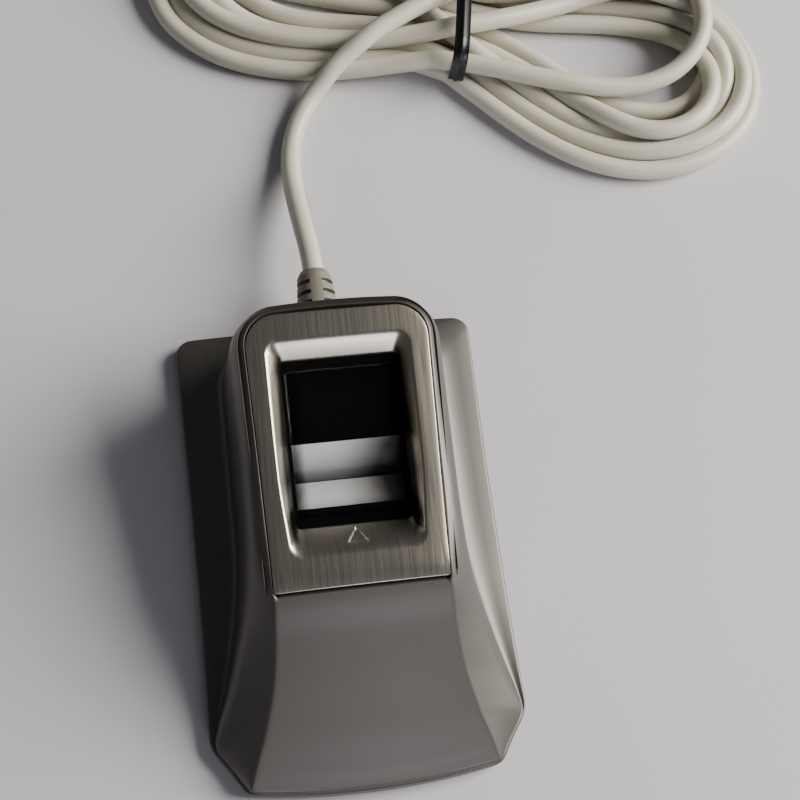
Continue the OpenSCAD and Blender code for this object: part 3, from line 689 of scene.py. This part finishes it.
# %% [markdown]
# ## The bezel
# The bezel drops into the shell with a hairline gap, and its rolled front edge laps over the apron.
# Its guides are the gap's floor, the outer edge, a line a little inside it, two lines on the way to the
# mouth of the finger recess, the mouth, and the window's rim at two depths. All are closed rings with
# the same stations.

# %% Bezel rings
GLASS_TILT = math.atan(0.244)
GLASS_MID = np.array((0, 16.35, 28.36))
SIDE_N = 40


def outline(x_at, front, back, front_radius, back_radius):
    """Right half of a rounded outline, from the middle of the front to the middle of the back."""
    x_front = float(x_at(front + front_radius))
    x_back = float(x_at(back - back_radius))
    edge = [(x, front) for x in np.linspace(0, x_front - front_radius, 14, endpoint=False)]
    for a in np.linspace(-math.pi / 2, 0, 10, endpoint=False):
        edge.append((x_front - front_radius + front_radius * math.cos(a),
                     front + front_radius + front_radius * math.sin(a)))
    for y in np.linspace(front + front_radius, back - back_radius, SIDE_N, endpoint=False):
        edge.append((float(x_at(y)), y))
    for a in np.linspace(0, math.pi / 2, 14, endpoint=False):
        edge.append((x_back - back_radius + back_radius * math.cos(a),
                     back - back_radius + back_radius * math.sin(a)))
    edge += [(x, back) for x in np.linspace(x_back - back_radius, 0, 12)]
    return np.array(edge)


def on_top(flat, lift=0.0):
    """Lays an outline on the bezel's top, which follows the ridge's height and crowns a little."""
    crown = 0.55 * (1 - np.clip(np.abs(flat[:, 0]) / TOP_HALF, 0, 1) ** 3)
    return np.column_stack([flat, ridge_z(flat[:, 1]) + crown + lift])


def on_glass(flat, lift=0.0):
    """Lays an outline on the glass plane."""
    return np.column_stack([flat, GLASS_MID[2] + (flat[:, 1] - GLASS_MID[1]) * math.tan(GLASS_TILT) + lift])


def bezel_side(gap):
    """The bezel's side as a function of y, a gap inside the ridge."""
    return lambda y: ridge_x(y) - 0.12 - gap


BEZEL_GAP = 0.08
MOUTH_X = [(-8, 12.6), (-4, 13.0), (10, 14.1), (20, 14.2), (40, 14.2)]
WINDOW_X = 11.7
outer = outline(bezel_side(BEZEL_GAP), BEZEL_FRONT - 0.25, BEZEL_BACK - BEZEL_GAP - 0.2, 0.5, BEZEL_CORNER)
inside = outline(bezel_side(BEZEL_GAP + 1.3), BEZEL_FRONT + 1.8, BEZEL_BACK - 1.9, 1.2, BEZEL_CORNER - 1.2)
mouth = outline(through(MOUTH_X), -6.2, 35.4, 3.2, 2.6)
rim = outline(level(WINDOW_X), 0.2, 32.5, 1.2, 0.9)
bezel_guides = [on_top(outer, -1.5), on_top(outer, -0.02), on_top(inside)]
for share in (0.33, 0.66):
    bezel_guides.append(on_top(inside * (1 - share) + mouth * share))
bezel_guides += [on_top(mouth, -0.05), on_glass(rim, 0.1), on_glass(rim, -1.2)]
BEZEL_RADII = (0.16, 0.8, 1.0, 1.0, 2.2, 0.5)
bezel_rings = [mirrored(r) for r in rounded_rows(bezel_guides, BEZEL_RADII)]
bezel = finished_mesh("bezel_brushed", np.vstack(bezel_rings),
                      grid_faces(len(bezel_rings), len(bezel_rings[0]), True), brushed_nickel(),
                      sharp_deg=55)

# %% [markdown]
# ## The pointer mark
# A small triangle with round corners is sunk in the lip, and shows where the fingertip goes. A punch of
# the same shape, with drafted sides, is laid on the lip's slope, and a Boolean takes it from the walled
# bezel. A bump could fake it, but the edges of a real pocket catch the light as the mould's do.

# %% Pointer mark
LIP_MIDDLE = np.array((0.0, -2.6, 26.34))
LIP_SLOPE = math.radians(-32.9)
MARK_CORNERS = [(-2.45, -2.2), (2.45, -2.2), (0.1, 2.75)]
MARK_DEPTH = 0.45
BEZEL_WALL = 0.8
PUNCH_ROWS = [(0.5, -MARK_DEPTH), (0.38, -MARK_DEPTH + 0.04), (0.05, 0.02), (0, 0.12), (0, 1.0)]


def rounded_triangle(corners, radius, shrink):
    """A triangle with round corners, drawn in towards its middle."""
    middle = np.mean(corners, axis=0)
    made = []
    for k in range(3):
        here, before, after = (np.array(corners[(k + d) % 3]) for d in (0, -1, 1))
        ends = [here + (o - here) / np.linalg.norm(o - here) * radius for o in (before, after)]
        made += soft_corner(ends[0], here, ends[1], 7)
    made = np.array(made)
    away = made - middle
    long = np.linalg.norm(away, axis=1, keepdims=True)
    return middle + away * (1 - shrink / long)


def on_lip(flat, height):
    """Lays an outline on the lip's slope at a height over it."""
    c, s = math.cos(LIP_SLOPE), math.sin(LIP_SLOPE)
    return LIP_MIDDLE + np.column_stack([flat[:, 0], flat[:, 1] * c - height * s,
                                         flat[:, 1] * s + height * c])


punch_rows = [on_lip(rounded_triangle(MARK_CORNERS, 0.9, shrink), height) for shrink, height in PUNCH_ROWS]
punch = finished_mesh("mark_punch", np.vstack(punch_rows),
                      capped_faces(len(punch_rows), len(punch_rows[0])), bezel.data.materials[0])

walled(bezel, BEZEL_WALL)
cut = bezel.modifiers.new("mark", "BOOLEAN")
cut.operation = "DIFFERENCE"
cut.solver = "EXACT"
cut.object = punch
carved = bpy.data.meshes.new_from_object(bezel.evaluated_get(bpy.context.evaluated_depsgraph_get()))
bezel.modifiers.clear()
bezel.data = carved
carved.set_sharp_from_angle(angle=math.radians(35))
bpy.data.objects.remove(punch)
ride_as(bezel, "brushed_bezel", "bezel_frame")

# %% [markdown]
# ## What shows in the window
# The window is the long face of a glass prism. Looking down, its rear half shows black and its front
# half white. The black is taken to be an absorber painted on the prism's rear leg, and the white a film
# that lights the finger from the front leg. Glass bends the view, so these faces seem to lie nearer
# than they are. The film and the absorber are therefore set a few millimetres under the glass, in two
# bands that step at the line that shows across the window. The high right wall throws its soft shadow
# on the film, and a tone in the film adds to it.

# %% Films and glass
def white_film():
    """Polyester film with a white coat. Its tone falls off to the right, which stands for part of the
    shade that the glass and the wall give there."""
    material, tree, shader, where = surface("polyester_film_white", Roughness=0.55, IOR=1.57)
    across = put(tree, "ShaderNodeSeparateXYZ", {"Vector": where}).outputs["X"]
    haze = grain(tree, where, 2.5)
    wander = spread_between(tree, haze.outputs[0], -0.4 * MM, 0.4 * MM)
    shade = eased_between(tree, calc(tree, "ADD", across, wander), -3 * MM, 10 * MM)
    two_tone(tree, shader, shade, "#f0f0f2", "#6f6c69")
    return material


def absorber_black():
    """Black absorber painted on glass. The joint of paint and glass hardly mirrors, so the index of
    refraction is set far under a real one."""
    material, tree, shader, where = surface("optical_absorber_black", Roughness=0.6, IOR=1.12)
    haze = grain(tree, where, 1.2)
    two_tone(tree, shader, spread_between(tree, haze.outputs[0], 0, 1), "#050507", "#0b0b10")
    return material


def optical_glass():
    """Polished crown glass. It is thin and mostly clear here, and doesn't bend light, so that the
    lamps reach the film under it."""
    material, tree, shader, where = surface(
        "crown_glass_polished", Alpha=0.12, IOR=1.5, Base_Color=linear("#06080a"))
    smear = grain(tree, where, 6, stretch=(1, 0.4, 1), detail=4)
    rough = spread_between(tree, smear.outputs[0], 0.0, 0.05)
    tree.links.new(rough, shader.inputs["Roughness"])
    return material


def on_slope(x, y, depth):
    """A point under the glass, with y along the table's axis and depth square to the glass."""
    return (x, y + depth * math.sin(GLASS_TILT),
            GLASS_MID[2] + (y - GLASS_MID[1]) * math.tan(GLASS_TILT) - depth * math.cos(GLASS_TILT))


def bent_sheet(name, profile, half_width, material, thick_mm):
    """A sheet that follows a profile of [y, depth] pairs across the whole window, with a real thickness."""
    steps = 9
    sides = np.linspace(-half_width, half_width, steps)
    sheet = [on_slope(x, y, depth) for y, depth in profile for x in sides]
    mesh_faces = grid_faces(len(profile), steps, False)
    made = finished_mesh(name, sheet, mesh_faces, material, sharp_deg=20)
    if made.data.polygons[0].normal.z < 0:
        made.data.flip_normals()
    walled(made, thick_mm)
    return made


FILM_HALF = 10.95
BAND_LINE, FILM_BACK, FILM_FRONT = 8.85, 16.3, 3.8
film_rear = bent_sheet("diffuser_film_rear", [(BAND_LINE, 6.2), (12.5, 4.4), (FILM_BACK, 1.3)],
                       FILM_HALF, white_film(), 0.3)
film_front = bent_sheet("diffuser_film_front", [(FILM_FRONT, 1.6), (6.0, 2.6), (BAND_LINE, 3.4)],
                        FILM_HALF, film_rear.data.materials[0], 0.3)
ride_as(film_rear, "diffuser_plastic", "light_diffuser")
ride_as(film_front, "diffuser_plastic")
black_rear = bent_sheet("prism_leg_rear", [(FILM_BACK + 0.02, 1.3), (23, 1.3), (30.6, 1.3)], FILM_HALF,
                        absorber_black(), 0.3)
black_front = bent_sheet("prism_leg_front", [(2.1, 1.3), (3.0, 1.3), (FILM_FRONT - 0.02, 1.3)], FILM_HALF,
                         black_rear.data.materials[0], 0.3)
ride_as(black_rear, "optics_plastic")
ride_as(black_front, "optics_plastic")

cheeks = []
for side in (-1, 1):
    wall_points = [on_slope(side * (FILM_HALF + 0.02 + out), y, depth)
                   for out in (0, 0.12) for y, depth in ((2.0, 0.9), (30.7, 0.9), (30.7, 7), (2.0, 7))]
    cheeks.append(np.array(wall_points))
box_faces = [(0, 1, 2, 3), (7, 6, 5, 4), (0, 4, 5, 1), (1, 5, 6, 2), (2, 6, 7, 3), (3, 7, 4, 0)]
cheek_faces = box_faces + [tuple(i + 8 for i in f) for f in box_faces]
cheek_piece = finished_mesh("prism_cheeks", np.vstack(cheeks), cheek_faces, black_rear.data.materials[0],
                            sharp_deg=30)
ride_as(cheek_piece, "optics_plastic")

PLATEN_HALF, PLATEN_FRONT, PLATEN_BACK, PLATEN_T = 11.0, 2.0, 30.75, 0.8
platen_outline = outline(level(PLATEN_HALF), PLATEN_FRONT, PLATEN_BACK, 0.4, 0.4)
smaller = outline(level(PLATEN_HALF - 0.25), PLATEN_FRONT + 0.25, PLATEN_BACK - 0.25, 0.3, 0.3)
platen_stack = [(smaller, -PLATEN_T), (platen_outline, -PLATEN_T + 0.2), (platen_outline, -0.28),
                (smaller, -0.05)]
platen_rings = [mirrored(on_glass(flat, lift)) for flat, lift in platen_stack]
platen = finished_mesh("prism_platen", np.vstack(platen_rings),
                       capped_faces(len(platen_rings), len(platen_rings[0])), optical_glass(), sharp_deg=15)
ride_as(platen, "prism_glass", "prism")

# %% [markdown]
# ## Finishes of the parts that keep their CAD shape
# The feet, screws, boards and optics have the right shape already, so each keeps its CAD mesh and
# gets a finish of its own. Most are small moulded or stamped parts, so one recipe with a fine grain
# serves them, with the colour, gloss and grain of each. The gasket's index of refraction is far under
# that of any foam. With a true one its surface mirrored the lamps as grey, where open cells swallow them.

# %% Plain finishes
def moulded(name, dark, light, rough, grain_mm=0.4, metallic=0.0, bump_mm=0.01, ior=1.5):
    """A finish with a slight unevenness of colour and gloss at the scale of its own grain."""
    material, tree, shader, where = surface(name, Metallic=metallic, IOR=ior)
    patches = grain(tree, where, grain_mm * 12)
    fine = grain(tree, where, grain_mm, detail=3)
    two_tone(tree, shader, spread_between(tree, patches.outputs[0], 0, 1), dark, light)
    spread = spread_between(tree, fine.outputs[0], rough - 0.06, rough + 0.06)
    tree.links.new(spread, shader.inputs["Roughness"])
    relief(tree, shader, fine.outputs[0], bump_mm, 0.6)
    return material


black_abs = moulded("abs_moulded_black", "#1b1b1d", "#222225", 0.5, 0.5)
screw_steel = moulded("steel_zinc_plated", "#9fa3a6", "#b4b7ba", 0.3, 0.3, metallic=1.0)
board_green = moulded("fibreglass_solder_mask", "#15402a", "#1b5034", 0.35, 1.0)
dark_rubber = moulded("rubber_moulded_black", "#141414", "#1c1c1c", 0.75, 0.25, bump_mm=0.03)
finishes = {
    "base_plate": moulded("abs_moulded_charcoal", "#262628", "#2e2e31", 0.55, 0.6, bump_mm=0.03),
    "rubber_feet": dark_rubber,
    "prism_seal": moulded("gasket_foam_black", "#040405", "#070708", 0.8, 0.3, ior=1.12),
    "base_screws": screw_steel,
    "board_screws": screw_steel,
    "ballast_plate": moulded("steel_rolled_bare", "#6a6d70", "#7d8083", 0.4, 0.8, metallic=1.0),
    "prism_holder": black_abs,
    "lens_barrel": black_abs,
    "sensor_bracket": black_abs,
    "cable_clamp": black_abs,
    "lens_elements": moulded("lens_glass_coated", "#5d6f8f", "#6f83a6", 0.06, 0.5, bump_mm=0.0),
    "led_board": board_green,
    "sensor_board": board_green,
    "main_board": board_green,
    "leds": moulded("led_epoxy_diffused", "#e9e6d8", "#f3f1e6", 0.2, 0.4),
    "image_sensor": moulded("sensor_glass_lid", "#1a1f2b", "#242b3a", 0.08, 0.4, bump_mm=0.0),
    "controller_chip": moulded("epoxy_moulded_chip", "#141416", "#1b1b1e", 0.5, 0.2),
    "board_components": moulded("ceramic_fired_tan", "#a58f5b", "#b9a36a", 0.4, 0.3),
    "cable_header": moulded("nylon_moulded_natural", "#e4e0d2", "#efece0", 0.42, 0.4),
    "inner_wires": moulded("pvc_wire_sleeve", "#8d2a24", "#a3352d", 0.4, 0.3),
    "rating_label": moulded("polyester_label_silver", "#b9babb", "#c6c7c8", 0.38, 0.6, metallic=0.3),
    "strain_relief": moulded("pvc_moulded_relief", "#726e62", "#7c786c", 0.45, 0.5, bump_mm=0.015),
    "plug_shell": moulded("nickel_stamped_shell", "#c2c4c6", "#d0d2d3", 0.22, 0.5, metallic=1.0),
    "plug_tongue": moulded("pbt_moulded_white", "#dcdcd8", "#e6e6e2", 0.45, 0.4),
    "plug_contacts": moulded("gold_flashed_contact", "#caa24e", "#d6b25f", 0.22, 0.3, metallic=1.0),
}
for name, material in finishes.items():
    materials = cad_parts[name].data.materials
    materials.clear()
    materials.append(material)
print("CAD parts with a finish:", len(finishes))

# %% [markdown]
# ## The twist tie
# The tie is a flat PVC ribbon over a steel wire, which shows as a low ridge along its middle. It goes
# once round the waist of the hank, and its ends are twisted together on the far side. The ribbon's
# section is swept round a box with round corners, and the twisted ends are the same section turned as
# it goes.

# %% Twist tie
TIE_W, TIE_T, WIRE_BULGE = 3.6, 0.55, 0.35
TIE_SECTION = [(-TIE_W / 2, 0), (-TIE_W / 2, TIE_T), (-0.6, TIE_T), (-0.3, TIE_T + WIRE_BULGE),
               (0.3, TIE_T + WIRE_BULGE), (0.6, TIE_T), (TIE_W / 2, TIE_T), (TIE_W / 2, 0)]


def tie_pvc():
    """Calendered PVC ribbon, black and half gloss."""
    return moulded("pvc_ribbon_black", "#101012", "#18181b", 0.32, 0.3, bump_mm=0.02)


def bundle_outline(near, far, top, corner, count):
    """Points round the waist of the hank in its own frame, with the way out from the bundle."""
    made = []
    bottom = TIE_T + WIRE_BULGE + corner
    corners = [(far - corner, top - corner, 0), (near + corner, top - corner, 90),
               (near + corner, bottom, 180), (far - corner, bottom, 270)]
    for v, z, start in corners:
        for a in np.linspace(start, start + 90, count):
            way = (math.cos(math.radians(a)), math.sin(math.radians(a)))
            made.append(((v + corner * way[0], z + corner * way[1]), way))
    return made


tie_rows = []
for (v, z), (out_v, out_z) in bundle_outline(TIE_NEAR, TIE_FAR, TIE_TOP, 4.5, 9):
    lean = 1.2 - 0.18 * v
    tie_rows.append([(lean + across, v + out_v * up, z + out_z * up) for across, up in TIE_SECTION])
tie_points = from_hank(np.array(tie_rows).reshape(-1, 3))
section_n = len(TIE_SECTION)
faces = grid_faces(len(tie_rows), section_n, True)
last_row = (len(tie_rows) - 1) * section_n
faces += [(last_row + c, last_row + (c + 1) % section_n, (c + 1) % section_n, c)
          for c in range(section_n)]

TWIST_STEPS, TWIST_DEG = 30, 900
twist_rows = []
for k in range(TWIST_STEPS + 1):
    t = k / TWIST_STEPS
    turn = math.radians(TWIST_DEG * t)
    centre = np.array((-1.5 + 2.2 * t, TIE_FAR + 0.9 + math.sin(3 * t), 11.5 - 8.6 * t))
    for across, up in TIE_SECTION:
        wide = 0.62 * across
        twist_rows.append(centre + (wide * math.cos(turn), wide * math.sin(turn) + up * 0.8, 0.2 * across))
start = len(tie_points)
tie_points = np.vstack([tie_points, from_hank(twist_rows)])
faces += [tuple(start + i for i in face) for face in capped_faces(TWIST_STEPS + 1, section_n)]
tie = finished_mesh("twist_tie_ribbon", tie_points, faces, tie_pvc(), sharp_deg=60)
ride_as(tie, "tie_plastic", "twist_tie")

# %% [markdown]
# ## The plug's grip
# The grip is PVC moulded over the plug. A round collar runs off the lead and swells into a flat body
# with soft shoulders. It is lofted through sections that go from a circle to a rounded bar, which a
# table gives. On both faces are low ribs for the fingers. All ribs are alike and evenly spaced, so
# Geometry Nodes sets one round bar on a line of points, sunk in the face, and its inputs give the
# count and the pitch.

# %% Grip and its ribs
PLUG_AT = (-12, 31, 4.2)
GRIP_SECTIONS = [(-0.2, 2.5, 2.5, 2), (0.3, 3.0, 3.0, 2), (2.5, 3.3, 3.3, 2), (5.2, 3.7, 3.4, 2.1),
                 (6.4, 5.0, 3.6, 2.6), (7.6, 6.9, 3.8, 3.4), (9.5, 7.8, 3.85, 4), (12, 8.0, 3.85, 4.2),
                 (21, 8.0, 3.85, 4.2), (24.6, 7.9, 3.8, 4.2), (25.6, 7.5, 3.5, 4.2), (25.9, 6.9, 3.1, 4)]
RIB_COUNT, RIB_PITCH, RIB_LENGTH, RIB_RADIUS = 6, 1.9, 9.0, 0.6
FIRST_RIB, RIB_SUNK = 11.4, 0.62


def off_plug(points):
    """Points of the plug's own frame, with y towards its tip, in the scanner's frame."""
    p = np.array(points, float)
    u, v, z = PLUG_AT
    return from_hank(np.column_stack([u + p[:, 1], v - p[:, 0], z + p[:, 2]]))


def superellipse(y, half_w, half_h, power, count=40):
    """A section that goes from an ellipse, at power 2, to a rounded bar, at power 4."""
    turns = np.linspace(0, 2 * math.pi, count, endpoint=False)
    c, s = np.cos(turns), np.sin(turns)
    return np.column_stack([half_w * np.sign(c) * np.abs(c) ** (2 / power), np.full(count, y),
                            half_h * np.sign(s) * np.abs(s) ** (2 / power)])


def rib_tree():
    """Geometry Nodes: a row of ribs, evenly spaced along y, on the upper and the lower face."""
    tree = bpy.data.node_groups.new("grip_ribs", "GeometryNodeTree")
    face = tree.interface
    face.new_socket("Geometry", in_out="OUTPUT", socket_type="NodeSocketGeometry")
    sockets = {name: face.new_socket(name, in_out="INPUT", socket_type=kind).identifier for name, kind in
               (("Count", "NodeSocketInt"), ("Pitch", "NodeSocketFloat"), ("Length", "NodeSocketFloat"),
                ("Radius", "NodeSocketFloat"), ("First", "NodeSocketFloat"), ("Height", "NodeSocketFloat"),
                ("Material", "NodeSocketMaterial"))}
    given = put(tree, "NodeGroupInput").outputs
    step = put(tree, "ShaderNodeCombineXYZ", {"Y": given["Pitch"]}).outputs[0]
    line = put(tree, "GeometryNodeMeshLine", {"Count": given["Count"], "Offset": step})
    bar = put(tree, "GeometryNodeMeshCylinder",
              {"Vertices": 20, "Radius": given["Radius"], "Depth": given["Length"]})
    laid_bar = put(tree, "GeometryNodeTransform",
                   {"Geometry": bar.outputs[0], "Rotation": (0, math.pi / 2, 0)})
    ribs = put(tree, "GeometryNodeInstanceOnPoints",
               {"Points": line.outputs[0], "Instance": laid_bar.outputs[0]}).outputs[0]
    joined = put(tree, "GeometryNodeJoinGeometry")
    below = calc(tree, "MULTIPLY", given["Height"], -1.0)
    for height in (given["Height"], below):
        place = put(tree, "ShaderNodeCombineXYZ", {"Y": given["First"], "Z": height}).outputs[0]
        moved = put(tree, "GeometryNodeTransform", {"Geometry": ribs, "Translation": place})
        tree.links.new(moved.outputs[0], joined.inputs[0])
    real = put(tree, "GeometryNodeRealizeInstances", {"Geometry": joined.outputs[0]})
    dressed = put(tree, "GeometryNodeSetMaterial",
                  {"Geometry": real.outputs[0], "Material": given["Material"]})
    put(tree, "NodeGroupOutput", {"Geometry": dressed.outputs[0]})
    return tree, sockets


def grown(name, tree, sockets, values):
    """Runs a Geometry Nodes tree with the given inputs and returns the mesh that it makes."""
    holder = placed(name + "_seed", bpy.data.meshes.new(name + "_seed"))
    nodes = holder.modifiers.new("grow", "NODES")
    nodes.node_group = tree
    for key, value in values.items():
        nodes[sockets[key]] = value
    ready = holder.evaluated_get(bpy.context.evaluated_depsgraph_get())
    mesh = bpy.data.meshes.new_from_object(ready)
    bpy.data.objects.remove(holder)
    return mesh


plug_pvc = moulded("pvc_moulded_grip", "#b2aea1", "#bdb9ad", 0.42, 0.4, bump_mm=0.012)
grip_rows = [superellipse(*section) for section in GRIP_SECTIONS]
grip = finished_mesh("plug_grip", off_plug(np.vstack(grip_rows)),
                     capped_faces(len(grip_rows), len(grip_rows[0])), plug_pvc, sharp_deg=50)
ride_as(grip, "plug_pvc", "plug_overmold")

rib_mesh = grown("plug_grip_ribs", *rib_tree(), {
    "Count": RIB_COUNT, "Pitch": RIB_PITCH, "Length": RIB_LENGTH, "Radius": RIB_RADIUS,
    "First": FIRST_RIB, "Height": PLUG_AT[2] - RIB_SUNK, "Material": plug_pvc})
rib_points = np.array([v.co[:] for v in rib_mesh.vertices])
rib_faces = [tuple(p.vertices) for p in rib_mesh.polygons]
ribs = finished_mesh("plug_grip_ribs", off_plug(rib_points), rib_faces, plug_pvc, sharp_deg=40)
ride_as(ribs, "plug_pvc")

# %% [markdown]

# %% [markdown]
# ## Table and light
# A plain pale table, a large soft lamp on the right, and a weak, low one that fills from the front.

# %% Floor, lamps and world
def table_paper():
    """Matt painted board."""
    material, tree, shader, where = surface("board_painted_matt", Roughness=0.75)
    broad = grain(tree, where, 60)
    two_tone(tree, shader, spread_between(tree, broad.outputs[0], 0, 1), "#c9c8cd", "#cccbd0")
    return material


def flat_plate(name, size, height):
    """A square plate that stands for the table."""
    mesh = bpy.data.meshes.new(name)
    half = size / 2
    mesh.from_pydata([(-half, -half, height), (half, -half, height), (half, half, height),
                      (-half, half, height)], [], [(0, 1, 2, 3)])
    return placed(name, mesh)


floor = flat_plate("table", 3.0, 0.0)
floor.data.materials.append(table_paper())


def lamp(name, place, size, watts, colour):
    """A square area lamp that faces the scanner."""
    data = bpy.data.lights.new(name, "AREA")
    data.size = size
    data.energy = watts
    data.color = linear(colour)[:3]
    made = placed(name, data)
    made.location = place
    made.rotation_euler = Vector(place).to_track_quat("Z", "Y").to_euler()


lamp("window_light", (1.12, 0.12, 0.7), 0.9, 44.0, "#fffaf2")
lamp("front_card", (0.2, -1.15, 0.34), 0.5, 4.2, "#f6f6ff")
world = bpy.data.worlds.new("studio")
world.use_nodes = True
world.node_tree.nodes["Background"].inputs["Color"].default_value = linear("#d4d6dc")
world.node_tree.nodes["Background"].inputs["Strength"].default_value = 0.13
bpy.context.scene.world = world
